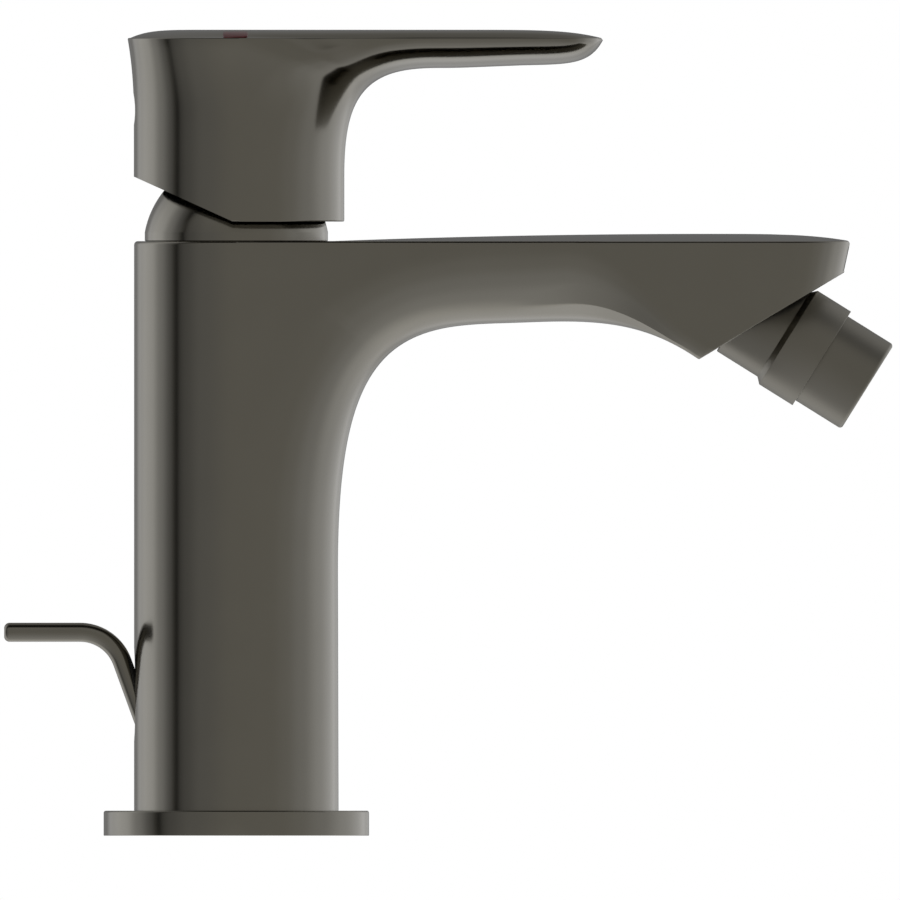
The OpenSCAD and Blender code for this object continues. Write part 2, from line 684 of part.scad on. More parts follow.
module lever() color(gunmetal) difference() {
    skin(lever_rings);
    // Relief under the back, so that the lever can be lifted
    translate([-0.75, 0, skirt_z]) rotate([0, relief_angle, 0])
        translate([-60, -40, -40]) cube([60, 80, 40]);
    // Hollow around the boss of the spindle and the boss of its screw
    difference() {
        union() {
            translate([0, 0, skirt_z - past]) cylinder(h = step_z - skirt_z + past, r = cavity_r);
            translate([0, 0, step_z - past])
                cylinder(h = ceiling_z - step_z + past, r = cavity_r - 1.6);
        }
        translate([0, 0, boss_z]) cylinder(h = 60, r = boss_r);
        translate([0, 0, screw_z]) rotate([0, -90, 0]) cylinder(h = 40, r = screw_boss_r);
    }
    // Square socket, screw thread and plug hole
    translate([-(spindle_w + seat_gap) / 2, -(spindle_w + seat_gap) / 2, boss_z - past])
        cube([spindle_w + seat_gap, spindle_w + seat_gap, spindle_top - boss_z + past + 0.5]);
    translate([0, 0, screw_z]) rotate([0, -90, 0]) {
        cylinder(h = 40, d = lever_screw_d + seat_gap);
        translate([0, 0, boss_r + 4]) cylinder(h = 40, d = plug_d);
    }
}

module lever_screw() color(steel) translate([-spindle_w / 2, 0, screw_z]) rotate([0, -90, 0])
    difference() {
        cylinder(h = 6, d = lever_screw_d);
        translate([0, 0, 3.5]) cylinder(h = 5, d = 2.5 / cos(30), $fn = 6);
    }

module screw_plug() color(gunmetal) translate([back_x + 0.3, 0, screw_z]) rotate([0, 90, 0])
    difference() {
        cylinder(h = 5, d = plug_d - seat_gap);
        translate([0, 0, 1.5]) cylinder(h = 5, d = plug_d - 2);
    }

// Ball with a waterway, a neck, a collar and a thread into the spout
module ball_nipple() color(steel) on_face_axis() difference() {
    union() {
        sphere(r = ball_r);
        translate([0, 0, -recess_floor]) cylinder(h = recess_floor, r = 4.2);
        translate([0, 0, -recess_floor + nipple_washer_t]) cylinder(h = 0.74, r = 6.4);
        translate([0, 0, -recess_floor - nipple_thread_len])
            cylinder(h = nipple_thread_len + nipple_washer_t, r = nipple_thread_d / 2 - seat_gap);
    }
    translate([0, 0, -20]) cylinder(h = 40, d = ball_bore_d);
    translate([0, 0, -recess_floor - nipple_thread_len - past])
        cylinder(h = past + 4, d = 7 / cos(30), $fn = 6);
}

nipple_washer_t = 0.8;

module nipple_washer() color(black_rubber) on_face_axis() difference() {
    translate([0, 0, -recess_floor]) cylinder(h = nipple_washer_t, d = nipple_thread_d + 2.4);
    translate([0, 0, -recess_floor - past])
        cylinder(h = nipple_washer_t + 2 * past, d = nipple_thread_d);
}

// Shell that turns on the ball: back lip, spherical seat, threaded bore
module swivel_shell() color(gunmetal) {
    bevel = (collar_d - stem_d) / 2;
    seat_r = ball_r + ball_gap;
    on_nozzle_axis() difference() {
        rotate_extrude() polygon([
            [0, -shell_back], [stem_d / 2 - 0.3, -shell_back], [stem_d / 2, -shell_back + 0.3],
            [stem_d / 2, collar_start], [collar_d / 2, collar_start + bevel],
            [collar_d / 2, collar_end - 0.15], [collar_d / 2 - 0.15, collar_end],
            [0, collar_end]]);
        sphere(r = seat_r);
        cylinder(h = 1.2, r = seat_r);
        translate([0, 0, 1]) cylinder(h = nozzle_len, r = shell_bore_r);
        translate([0, 0, -shell_back - past]) cylinder(h = shell_back, r = 6.9);
    }
}

module ball_oring() color(black_rubber) on_nozzle_axis() rotate_extrude()
    translate([shell_bore_r - 0.75, 1.75]) circle(r = 0.68);

// Plastic seat in front of the ball, with a tail that presses the aerator's stack together
module ball_seat() color(white_plastic) on_nozzle_axis() difference() {
    union() {
        translate([0, 0, seat_z]) cylinder(h = stack_z - seat_z, r = shell_bore_r - seat_gap);
        translate([0, 0, seat_z]) cylinder(h = washer_z - seat_z, r = aerator_d / 2 - seat_gap);
    }
    sphere(r = ball_r + 2 * ball_gap);
    cylinder(h = 20, r = 5);
}

module aerator_washer() color(black_rubber) on_nozzle_axis() translate([0, 0, washer_z])
    difference() {
        cylinder(h = washer_t, r = aerator_d / 2 - seat_gap);
        translate([0, 0, -past]) cylinder(h = washer_t + 2 * past, r = 5);
    }

// Cup with a ring of jets in its plate
module aerator_insert() color(white_plastic) {
    low = washer_z + washer_t;
    high = nozzle_len - outlet_lip - screen_t;
    on_nozzle_axis() difference() {
        translate([0, 0, low]) cylinder(h = high - low, r = aerator_d / 2 - seat_gap);
        translate([0, 0, low + 1.6]) cylinder(h = high, r = aerator_d / 2 - 1.2);
        for (a = [0 : 45 : 315])
            rotate([0, 0, a]) translate([3.6, 0, low - past]) cylinder(h = 4, r = 0.8);
    }
}

// Grille at the mouth, with holes in rings
module aerator_screen() color(grey_plastic) on_nozzle_axis()
    translate([0, 0, nozzle_len - outlet_lip - screen_t]) difference() {
        cylinder(h = screen_t, r = aerator_d / 2 - seat_gap);
        for (ring_i = [0 : 2], k = [0 : max(0, 6 * ring_i - 1)])
            rotate([0, 0, 60 * k / max(1, ring_i)]) translate([2.6 * ring_i, 0, -past])
                cylinder(h = screen_t + 2 * past, r = 0.95);
    }

module outlet_ring() color(gunmetal) on_nozzle_axis() rotate_extrude() polygon([
    [aerator_d / 2, stack_z + 0.1], [shell_bore_r - 0.15, stack_z + 0.1],
    [shell_bore_r - 0.15, collar_end], [outlet_d / 2, collar_end],
    [outlet_d / 2, nozzle_len - 0.5], [outlet_d / 2 - 0.5, nozzle_len],
    [aerator_d / 2 - 0.6, nozzle_len], [aerator_d / 2 - 0.6, nozzle_len - outlet_lip],
    [aerator_d / 2, nozzle_len - outlet_lip]]);

// Bent rod: sloping shank with a threaded foot, one bend and a level end with a rounded tip
module lift_rod() color(gunmetal) {
    shank_up = norm(rod_corner - rod_entry) - rod_setback;
    shank_down = (rod_entry_h - rod_foot_h) / cos(rod_angle);
    level_len = rod_reach + rod_corner[0] - rod_setback;
    tip_round = 1.2;
    on_rod_axis() {
        translate([0, 0, rod_thread_len - shank_down])
            cylinder(h = shank_down - rod_thread_len + shank_up, r = rod_r);
        translate([0, 0, -shank_down]) cylinder(h = rod_thread_len + 0.5, r = 1.5);
    }
    translate([rod_corner[0] - rod_setback, 0, rod_handle_h - rod_bend_r]) rotate([-90, 0, 0])
        rotate([0, 0, -90]) rotate_extrude(angle = rod_turn)
            translate([rod_bend_r, 0]) circle(r = rod_r - 0.02);
    translate([rod_corner[0] - rod_setback, 0, rod_handle_h]) rotate([0, -90, 0])
        rotate_extrude() polygon([
            [0, 0], [rod_r, 0],
            for (a = [0 : 22.5 : 90])
                [rod_r - tip_round * (1 - cos(a)), level_len - tip_round * (1 - sin(a))],
            [0, level_len]]);
}

body_casting();
base_ring();
deck_gasket();
rod_guide();
cartridge_base();
port_seals();
fixed_disc();
moving_disc();
disc_carrier();
cartridge_housing();
turret();
pivot_pin();
spindle();
retaining_nut();
domed_cap();
cap_oring();
lever();
lever_screw();
screw_plug();
ball_nipple();
nipple_washer();
swivel_shell();
ball_oring();
ball_seat();
aerator_washer();
aerator_insert();
aerator_screen();
outlet_ring();
lift_rod();
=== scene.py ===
# %% [markdown]
# # A single-lever bidet mixer in polished gun-metal
# This lesson dresses a CAD model of a bidet mixer: a round column with a spout grown out of
# it, a lever on a domed cap, a nozzle on a ball joint and a lift rod for the pop-up waste.
# The CAD solids are exact but coarse where their surfaces are free-form, and a polished
# metal shows every facet, so each polished piece is modelled again here, finely, in place.

# %% Load the frame and keep its box
import json
import math

import bmesh
import bpy
from mathutils import Matrix, Vector


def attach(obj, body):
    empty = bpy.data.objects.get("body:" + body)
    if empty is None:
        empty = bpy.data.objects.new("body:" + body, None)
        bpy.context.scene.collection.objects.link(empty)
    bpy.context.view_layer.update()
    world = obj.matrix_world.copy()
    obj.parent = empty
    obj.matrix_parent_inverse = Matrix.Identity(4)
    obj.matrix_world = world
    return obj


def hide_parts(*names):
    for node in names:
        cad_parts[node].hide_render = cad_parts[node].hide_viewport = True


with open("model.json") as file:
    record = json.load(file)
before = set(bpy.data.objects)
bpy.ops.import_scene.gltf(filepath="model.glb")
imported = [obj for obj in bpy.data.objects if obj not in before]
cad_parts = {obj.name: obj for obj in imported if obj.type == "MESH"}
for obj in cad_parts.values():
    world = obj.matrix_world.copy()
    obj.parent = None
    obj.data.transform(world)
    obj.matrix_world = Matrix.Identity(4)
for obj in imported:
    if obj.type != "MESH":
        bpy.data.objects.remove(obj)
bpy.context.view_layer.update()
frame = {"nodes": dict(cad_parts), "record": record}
MM = 0.001

# %% [markdown]
# ## Finishes
# Almost everything that shows is brass with a PVD coat, polished before it is coated. The
# coat is a few micrometres of warm dark-grey metal, so the surface is a mirror that gives
# back about a sixth of the light head-on and nearly all of it at a glancing angle. The inner
# pieces are acetal, alumina, nitrile rubber, stainless steel and brass, as in any cartridge.

# %% Colours, nodes and what every finish does with them
def linear(hex_colour):
    """An sRGB hex value as the linear RGBA that shaders work with."""
    parts = [int(hex_colour[i:i + 2], 16) / 255 for i in (1, 3, 5)]
    return tuple(c / 12.92 if c < 0.04045 else ((c + 0.055) / 1.055) ** 2.4 for c in parts) + (1,)


def add_node(tree, kind, inputs=None, **settings):
    """Adds a node, sets its properties, and sets or links its inputs."""
    node = tree.nodes.new(kind)
    for name, value in settings.items():
        setattr(node, name, value)
    for name, value in (inputs or {}).items():
        if isinstance(value, bpy.types.NodeSocket):
            tree.links.new(value, node.inputs[name])
        else:
            node.inputs[name].default_value = value
    return node


def shader(name):
    """A new material's tree with its Principled shader and its object coordinates."""
    material = bpy.data.materials.new(name)
    material.use_nodes = True
    tree = material.node_tree
    principled = tree.nodes["Principled BSDF"]
    place = add_node(tree, "ShaderNodeTexCoord").outputs["Object"]
    return material, tree, principled, place


def tinted(tree, surface, pattern, dark, light):
    """Lets a pattern drive the base colour from dark to light."""
    tint = add_node(tree, "ShaderNodeMix", {"Factor": pattern.outputs["Fac"],
                                            "A": linear(dark), "B": linear(light)},
                    data_type="RGBA")
    tree.links.new(tint.outputs["Result"], surface.inputs["Base Color"])


def roughened(tree, surface, pattern, least, most):
    """Lets a pattern drive the roughness."""
    sheen = add_node(tree, "ShaderNodeMapRange", {"Value": pattern.outputs["Fac"],
                                                  "To Min": least, "To Max": most})
    tree.links.new(sheen.outputs["Result"], surface.inputs["Roughness"])


def bumped(tree, surface, pattern, strength, height_mm):
    """Lets a pattern bend the light as relief of a height would."""
    bump = add_node(tree, "ShaderNodeBump", {"Height": pattern.outputs["Fac"],
                                             "Strength": strength, "Distance": height_mm * MM})
    tree.links.new(bump.outputs["Normal"], surface.inputs["Normal"])


# %% Polished gun-metal PVD
# Real thing: polished brass under zirconium carbonitride. The polish leaves waves a few
# millimetres long and under a micrometre high, which make reflections swim very slightly.
# The nozzle's own pieces are a little more satin than the castings.
def gunmetal_pvd(name, rough):
    material, tree, surface, place = shader(name)
    surface.inputs["Metallic"].default_value = 1.0
    haze = add_node(tree, "ShaderNodeTexNoise", {"Vector": place, "Scale": 90.0, "Detail": 3.0})
    wave = add_node(tree, "ShaderNodeTexNoise", {"Vector": place, "Scale": 220.0, "Detail": 1.0})
    tinted(tree, surface, haze, "#787469", "#7C786D")
    roughened(tree, surface, haze, rough, rough + 0.03)
    bumped(tree, surface, wave, 0.02, 0.2)
    return material


# %% Turned metals: stainless steel and brass
# A lathe leaves rings about 0.1 mm apart; they are drawn at 0.5 mm so that they show.
def turned_metal(name, dark, light, rough):
    material, tree, surface, place = shader(name)
    surface.inputs["Metallic"].default_value = 1.0
    rings = add_node(tree, "ShaderNodeTexWave", {"Vector": place, "Scale": 320.0,
                                                 "Distortion": 0.6, "Detail": 2.0},
                     bands_direction="Z")
    tinted(tree, surface, rings, dark, light)
    roughened(tree, surface, rings, rough, rough + 0.12)
    bumped(tree, surface, rings, 0.15, 0.05)
    return material


# %% Moulded, sintered and rubber finishes
# Acetal comes from a spark-eroded mould with a fine matt grain of about 0.2 mm; alumina is
# lapped smooth and barely mottled; nitrile rubber is matt with a dusting of talc.
def moulded(name, dark, light, rough, grain_mm, depth_mm, ior):
    material, tree, surface, place = shader(name)
    surface.inputs["IOR"].default_value = ior
    grain = add_node(tree, "ShaderNodeTexNoise", {"Vector": place, "Scale": 1 / (grain_mm * MM),
                                                  "Detail": 3.0, "Roughness": 0.6})
    mottle = add_node(tree, "ShaderNodeTexNoise", {"Vector": place, "Scale": 120.0,
                                                   "Detail": 2.0})
    tinted(tree, surface, mottle, dark, light)
    roughened(tree, surface, grain, rough - 0.06, rough + 0.06)
    bumped(tree, surface, grain, 0.4, depth_mm)
    return material


finish = {
    "gunmetal": gunmetal_pvd("gunmetal_pvd_polished", 0.13),
    "gunmetal_satin": gunmetal_pvd("gunmetal_pvd_satin", 0.38),
    "steel": turned_metal("stainless_steel_turned", "#9DA0A3", "#B4B6B8", 0.22),
    "brass": turned_metal("brass_turned", "#B18E4A", "#CBA75E", 0.24),
    "ceramic": moulded("alumina_lapped", "#E9E6DC", "#F2F0E9", 0.22, 0.3, 0.004, 1.76),
    "rubber": moulded("nitrile_rubber_black", "#121212", "#1D1D1C", 0.62, 0.25, 0.02, 1.52),
    "white_plastic": moulded("acetal_white", "#DCDBD6", "#E8E7E3", 0.42, 0.22, 0.012, 1.48),
    "grey_plastic": moulded("acetal_grey", "#63666A", "#73767A", 0.40, 0.22, 0.012, 1.48),
}
print("finishes:", ", ".join(m.name for m in finish.values()))

# %% Give every CAD node its slot's finish
slot_of = {part["node"]: part["material_slot"] for part in frame["record"]["subparts"]}
for name, node in frame["nodes"].items():
    node.data.materials.clear()
    node.data.materials.append(finish[slot_of[name]])


# %% [markdown]
# ## Helpers for the polished pieces
# Four helpers carry the whole model. `loft` extrudes a circle of vertices from one section
# to the next, `turned` spins a profile as a lathe does, `finished` makes the mesh an object
# with its material, its body and the CAD node that it stands for, and `cut` drills it.

# %% Loft, lathe, finishing and drilling
SHARP_DEG = 32


def mesh_of(bm, name):
    """A mesh made from a bmesh, which is freed."""
    mesh = bpy.data.meshes.new(name)
    bm.to_mesh(mesh)
    bm.free()
    return mesh


def placed(name, data):
    """A new object in the scene."""
    item = bpy.data.objects.new(name, data)
    bpy.context.scene.collection.objects.link(item)
    return item


def shade(bm, sharp_deg):
    """Shades smoothly but for edges that turn by sharp_deg or more."""
    limit = math.radians(sharp_deg)
    for face in bm.faces:
        face.smooth = True
    for edge in bm.edges:
        if len(edge.link_faces) == 2:
            edge.smooth = edge.calc_face_angle(0) < limit


def loft(sections):
    """A closed skin: a circle of vertices, extruded from each section to the next."""
    bm = bmesh.new()
    count = len(sections[0])
    ring = bmesh.ops.create_circle(bm, cap_ends=False, segments=count, radius=1)["verts"]
    edges = list(bm.edges)
    for vert, point in zip(ring, sections[0]):
        vert.co = Vector(point) * MM
    bmesh.ops.contextual_create(bm, geom=edges)
    for section in sections[1:]:
        made = bmesh.ops.extrude_edge_only(bm, edges=edges)["geom"]
        edges = [g for g in made if isinstance(g, bmesh.types.BMEdge)
                 and all(v not in ring for v in g.verts)]
        fresh = {v for e in edges for v in e.verts}
        ring = [next(e.other_vert(v) for e in v.link_edges if e.other_vert(v) in fresh)
                for v in ring]
        for vert, point in zip(ring, section):
            vert.co = Vector(point) * MM
    bmesh.ops.contextual_create(bm, geom=edges)
    bmesh.ops.recalc_face_normals(bm, faces=bm.faces)
    return bm


def turned(profile, steps=128, closed=True):
    """A profile of (radius, height) in mm, spun about the Z axis as on a lathe."""
    bm = bmesh.new()
    verts = [bm.verts.new((r * MM, 0, z * MM)) for r, z in profile]
    edges = [bm.edges.new(pair) for pair in zip(verts, verts[1:])]
    if closed:
        edges.append(bm.edges.new((verts[-1], verts[0])))
    bmesh.ops.spin(bm, geom=verts + edges, cent=(0, 0, 0), axis=(0, 0, 1),
                   angle=math.tau, steps=steps, use_merge=True, use_duplicate=False)
    bmesh.ops.remove_doubles(bm, verts=bm.verts, dist=1e-7)
    bmesh.ops.dissolve_degenerate(bm, edges=bm.edges, dist=1e-8)
    bmesh.ops.recalc_face_normals(bm, faces=bm.faces)
    return bm


def finished(bm, name, body, slot, stands_for=(), sharp_deg=SHARP_DEG, place=None):
    """Turns a bmesh into a piece of the object, in the finish that its slot names."""
    if place is not None:
        bmesh.ops.transform(bm, matrix=place, verts=bm.verts)
    shade(bm, sharp_deg)
    mesh = mesh_of(bm, name)
    mesh.materials.append(finish[slot])
    piece = placed(name, mesh)
    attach(piece, body)
    if stands_for:
        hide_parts(*stands_for)
    print(f"{name}: {len(mesh.polygons)} faces on {body}")
    return piece


def steady_normals(piece):
    """Lets large flat faces rule the shading next to narrow roundings."""
    steady = piece.modifiers.new("steady normals", "WEIGHTED_NORMAL")
    steady.weight = 100
    steady.keep_sharp = True


def cut(piece, cutter_bm):
    """Takes a closed cutter out of a piece and applies the result to its mesh."""
    cutter = placed("cutter", mesh_of(cutter_bm, "cutter"))
    tool = piece.modifiers.new("cut", "BOOLEAN")
    tool.operation = "DIFFERENCE"
    tool.solver = "EXACT"
    tool.object = cutter
    bpy.context.view_layer.update()
    depsgraph = bpy.context.evaluated_depsgraph_get()
    result = bpy.data.meshes.new_from_object(piece.evaluated_get(depsgraph))
    piece.modifiers.remove(tool)
    bpy.data.objects.remove(cutter)
    old = piece.data
    result.name = piece.name
    piece.data = result
    bpy.data.meshes.remove(old)
    bm = bmesh.new()
    bm.from_mesh(result)
    bmesh.ops.remove_doubles(bm, verts=bm.verts, dist=2e-6)
    shade(bm, SHARP_DEG)
    bm.to_mesh(result)
    bm.free()
    print(f"{piece.name} after cutting: {len(result.polygons)} faces")


def sliced(bm, geom, point, away):
    """Cuts a shell by a plane, drops the part that lies away, and returns the closing face."""
    bmesh.ops.bisect_plane(bm, geom=geom, plane_co=Vector(point) * MM, plane_no=away,
                           clear_outer=True, dist=1e-7)
    open_edges = [e for e in bm.edges if len(e.link_faces) == 1]
    closing = bmesh.ops.contextual_create(bm, geom=open_edges)["faces"]
    bmesh.ops.recalc_face_normals(bm, faces=bm.faces)
    return closing


def rounded(corner_in, corner, corner_out, radius, steps=5):
    """The points of a small round where two lines of a profile meet at a corner."""
    a, b, c = Vector(corner_in), Vector(corner), Vector(corner_out)
    u, v = (a - b).normalized(), (c - b).normalized()
    half = u.angle(v) / 2
    back = radius / math.tan(half)
    middle = b + (u + v).normalized() * radius / math.sin(half)
    start, end = b + u * back, b + v * back
    points = []
    for i in range(steps + 1):
        way = (start - middle).lerp(end - middle, i / steps).normalized()
        points.append(tuple(middle + way * radius))
    return points


# %% [markdown]
# ## Where everything is
# These are the part's own sizes, in millimetres. The column's axis is the Z axis, the deck
# is at Z = 0, and the spout points along +X.

# %% Main sizes
BODY_R, RIM_Z, RIM_ROUND = 22.5, 130.8, 0.8
ROOT_Z = RIM_Z - 72.0
SPOUT_REACH, TIP_CORNER_R, TIP_LEAN = 135.1, 13.0, 0.217
NOSE = (102.0, RIM_Z - 26.2)
FACE_ANGLE, NOZZLE_TILT = math.radians(30.9), math.radians(27.1)
PIVOT_Z = RIM_Z - 1.8
SKIRT_R, SKIRT_X, SKIRT_Z = 23.15, 0.6, RIM_Z + 4.3
EDGE_Z, CROWN, FLARE, FLARE_H = RIM_Z + 44.7, 1.8, 1.4, 17.5
HANDLE_REACH, HANDLE_HALF, HANDLE_END = 80.65, 17.6, 12.6
SLIVER = 0.05  # the least that is left of a width or a rounding

BALL_ALONG, BALL_INSET = 15.3, 1.46  # the ball, up the milled face from the nose and behind it
foot = Vector((NOSE[0] + BALL_ALONG * math.cos(FACE_ANGLE), 0,
               NOSE[1] + 0.3 + BALL_ALONG * math.sin(FACE_ANGLE)))
face_normal = Vector((math.sin(FACE_ANGLE), 0, -math.cos(FACE_ANGLE)))
ball_centre = foot - BALL_INSET * face_normal
print("ball centre (mm):", tuple(round(c, 2) for c in ball_centre))


def mix(a, b, t):
    """From a at t = 0 to b at t = 1."""
    return a + (b - a) * t


def ease(t):
    """From 0 to 1 as t does, with level ends."""
    t = min(1.0, max(0.0, t))
    return t * t * (3 - 2 * t)


def bezier(points, t):
    """A cubic curve, as the CAD model's outlines are drawn."""
    s = 1 - t
    weights = (s ** 3, 3 * s * s * t, 3 * s * t * t, t ** 3)
    return [sum(w * p[k] for w, p in zip(weights, points)) for k in (0, 1)]


def drawn_out(point, corner_x, bend, reach):
    """A point of an outline whose slight bend at corner_x is drawn out by reach each way."""
    off = max(0.0, reach - abs(point[0] - corner_x))
    return (point[0], point[1] + bend * off * off / (4 * reach))


# %% [markdown]
# ## One section of a cast shell
# The column, spout and lever are castings whose sections turn like the pages of a book:
# each lies in a plane from a point of the underside to a point of the top. Its lower edges
# are rounded, its upper edges have a small round, and behind the column it closes in an arc.

# %% The section
STEEP, FLAT = 30, 62  # slopes in degrees between which a crease leaves its rounding out
RIDGE_MM = 0.08       # how close to a crease its nearest points lie
SIDE_POINTS = 30      # points of a section up each side: 21 round, 4 flat, 5 edge
REAR_STEPS = 48       # steps of its arc from one side round the back to the other


def rounding(tall, wide, crease):
    """Points of a quarter ellipse from its foot up, as (height, distance in from the side).

    With crease at 1 the ellipse leaves out its slopes between STEEP and FLAT: two tangents
    meet there in a fine line, as a cast edge that was polished from below and from the side.
    """
    def at(a, reach=1.0):
        return tall * (1 - math.cos(a) / reach), wide * (1 - math.sin(a) / reach)

    points = [at(math.radians(4.5 * i)) for i in range(21)]
    if crease == 0:
        return points
    lower, upper = (math.atan2(wide, tall * math.tan(math.radians(d))) for d in (FLAT, STEEP))
    half, middle = 0.5 * (upper - lower), 0.5 * (upper + lower)
    ridge = at(middle, math.cos(half))
    under = [at(lower * i / 6) for i in range(7)]
    over = [at(mix(upper, math.pi / 2, i / 10)) for i in range(11)]
    close = [tuple(mix(r, q, min(0.5, RIDGE_MM / math.dist(ridge, end)))
                   for r, q in zip(ridge, end)) for end in (under[-1], over[0])]
    creased = under + [close[0], ridge, close[1]] + over
    return [tuple(mix(p, q, crease) for p, q in zip(*pair)) for pair in zip(points, creased)]


def section(low, high, width, round_w, depth, edge, inset, centre, back, square, rise, power,
            lip=0.0, crease=0.0):
    """The closed outline of one section in the plane through low and high, which are (x, z).

    width is half the section's width. Its lower rounding is round_w wide and depth tall, its
    upper round is inset wide and edge tall. With back at 1 the top closes in an arc behind
    centre, a superellipse of power square that reaches lip further at its back. rise is the
    crown of the top, which falls away towards the sides with power.
    """
    low, high = Vector(low), Vector(high)
    length = (high - low).length
    way = (high - low) / length
    deep = min(depth, length - 0.02)
    edge = min(edge, 0.6 * (length - deep))
    side = [(up, width - inward) for up, inward in rounding(deep, round_w, crease)]
    flat = length - edge - deep
    side += [(deep + flat * k, width) for k in (0.1, 0.35, 0.65, 0.9)]
    for i in range(5):
        a = math.radians(18 * i)
        side.append((length - edge * (1 - math.sin(a)), width - inset * (1 - math.cos(a))))
    points = [(low.x + way.x * s, w, low.y + way.y * s) for s, w in side]
    w = width - inset
    rear = []
    for i in range(REAR_STEPS + 1):
        b = math.radians(180 * i / REAR_STEPS)
        far = math.sin(b) ** (2 / square) if 0 < i < REAR_STEPS else 0.0
        wide = math.copysign(abs(math.cos(b)) ** (2 / square), math.cos(b))
        if 2 * i == REAR_STEPS:
            wide = 0.0
        x = mix(high.x, centre - (w + lip * far * far) * far, back)
        q = (max(0.0, centre - x) / w) ** square + abs(wide) ** square
        rear.append((x, w * wide, high.y + rise * (1 - min(1.0, q ** (1 / square)) ** power)))
    mirrored = [(x, -y, z) for x, y, z in reversed(points)]
    return points + rear + mirrored


# %% [markdown]
# ## Body: column and spout
# The real body is one brass casting. Its underside is two curves, from the column up into
# the spout and on to the nose, and a slanting face is milled off for the nozzle. It is
# lofted here from some 130 sections, and the face is cut by a plane.

# %% Outlines of the spout
CROWN_MM, CROWN_START, CROWN_PEAK = 1.6, 20.75, SPOUT_REACH - 31
root_curve = [(BODY_R - 0.15, ROOT_Z), (BODY_R - 0.15, ROOT_Z + 45),
              (BODY_R + 10.1, RIM_Z - 18.0), (BODY_R + 35.5, RIM_Z - 18.25)]
front_curve = [root_curve[3], (NOSE[0] - 22.9, RIM_Z - 16.85),
               (NOSE[0] - 12.6, RIM_Z - 17.55), NOSE]
ROOT_END = root_curve[3][0]


def spout_width(from_tip):
    """Half the spout's width, which is the column's but for the round of the tip."""
    if from_tip >= TIP_CORNER_R:
        return BODY_R
    into = TIP_CORNER_R - from_tip
    return BODY_R - TIP_CORNER_R + math.sqrt(TIP_CORNER_R ** 2 - into ** 2)


def spout_crown(x):
    """How high the spout's top is crowned: up to its peak, then down to the tip."""
    if x < CROWN_PEAK:
        return max(0.0, CROWN_MM * (1 - ((CROWN_PEAK - x) / (CROWN_PEAK - CROWN_START)) ** 2))
    return max(0.0, CROWN_MM * (1 - ((x - CROWN_PEAK) / (SPOUT_REACH - CROWN_PEAK)) ** 3.6))


def spout_section(low, high, round_w, inset, back, depth=None, crease=0.0):
    """One section of column and spout, with a round underside unless a depth is given."""
    width = spout_width(SPOUT_REACH - high[0])
    return section(low, high, width, round_w, depth or max(round_w - SLIVER, SLIVER), RIM_ROUND,
                   inset, 0, back, 2, spout_crown(high[0]), 2, 0.0, crease)


def root_low(t):
    """The foot of a section on the root curve, with the bend at the curve's end drawn out."""
    return drawn_out(bezier(root_curve, t), ROOT_END, 0.076, 9)


def root_round(t):
    """How wide a section's lower rounding is on the root curve."""
    return mix(BODY_R - SLIVER, SPOUT_ROUND, ease(t))


# %% Sections from the column's foot to the spout's tip
# The root curve is shared out: up the column, round its rim, off its axis, then out. Past its
# end the underside sharpens to the nose's narrow round (wide, tall), with a crease that
# starts early and fades before the milled face.
SPOUT_ROUND, NOSE_ROUND = 16.7, (2.4, 3.6)
T_RIM, T_TOP, T_OUT, OFF_AXIS = 0.5425, 0.5625, 0.6025, 3
sections = [[(x, y, 2.0) for x, y, z in
             spout_section((BODY_R, ROOT_Z), (0, ROOT_Z), BODY_R - SLIVER, 0, 1)]]
for i in range(33):
    t = T_RIM * i / 32
    high = (0, mix(ROOT_Z, RIM_Z - RIM_ROUND, i / 32))
    sections.append(spout_section(bezier(root_curve, t), high, root_round(t), 0, 1))
for i in range(1, 6):
    a = math.radians(18 * i)
    t = T_RIM + 0.02 * i / 5
    high = (0, RIM_Z - RIM_ROUND * (1 - math.sin(a)))
    sections.append(spout_section(bezier(root_curve, t), high, root_round(t),
                                  RIM_ROUND * (1 - math.cos(a)), 1))
for i in range(1, 9):
    t = T_TOP + 0.04 * i / 8
    sections.append(spout_section(bezier(root_curve, t), (OFF_AXIS * i / 8, RIM_Z),
                                  root_round(t), RIM_ROUND, 1 - i / 8))
for i in range(1, 31):
    t = mix(T_OUT, 1, i / 30)
    sections.append(spout_section(root_low(t), (mix(OFF_AXIS, ROOT_END, i / 30), RIM_Z),
                                  root_round(t), RIM_ROUND, 0))
for i in range(1, 31):
    t = i / 30
    low = drawn_out(bezier(front_curve, t), ROOT_END, 0.076, 9)
    far = (low[0] - ROOT_END) / (NOSE[0] - ROOT_END)
    sharpen = ease((t - 0.25) / 0.65)
    crease = ease(t / 0.45) * (1 - ease((t - 0.8) / 0.15))
    sections.append(spout_section(low, (low[0] + 15.4 * far ** 3, RIM_Z),
                                  mix(SPOUT_ROUND, NOSE_ROUND[0], sharpen), RIM_ROUND, 0,
                                  mix(SPOUT_ROUND - SLIVER, NOSE_ROUND[1], sharpen), crease))
for i in range(0, 25):
    from_tip = TIP_CORNER_R * (1 - math.sin(math.radians(90 * i / 24)))
    drop = 0.0
    if from_tip < RIM_ROUND:
        drop = RIM_ROUND - math.sqrt(RIM_ROUND ** 2 - (RIM_ROUND - from_tip) ** 2)
    high = (SPOUT_REACH - from_tip - drop * TIP_LEAN, RIM_Z - drop)
    low_z = NOSE[1] - 2
    low = (high[0] - (high[1] - low_z) * TIP_LEAN, low_z)
    sections.append(spout_section(low, high, 0.2, RIM_ROUND, 0))
body_bm = loft(sections)
print("spout sections:", len(sections))

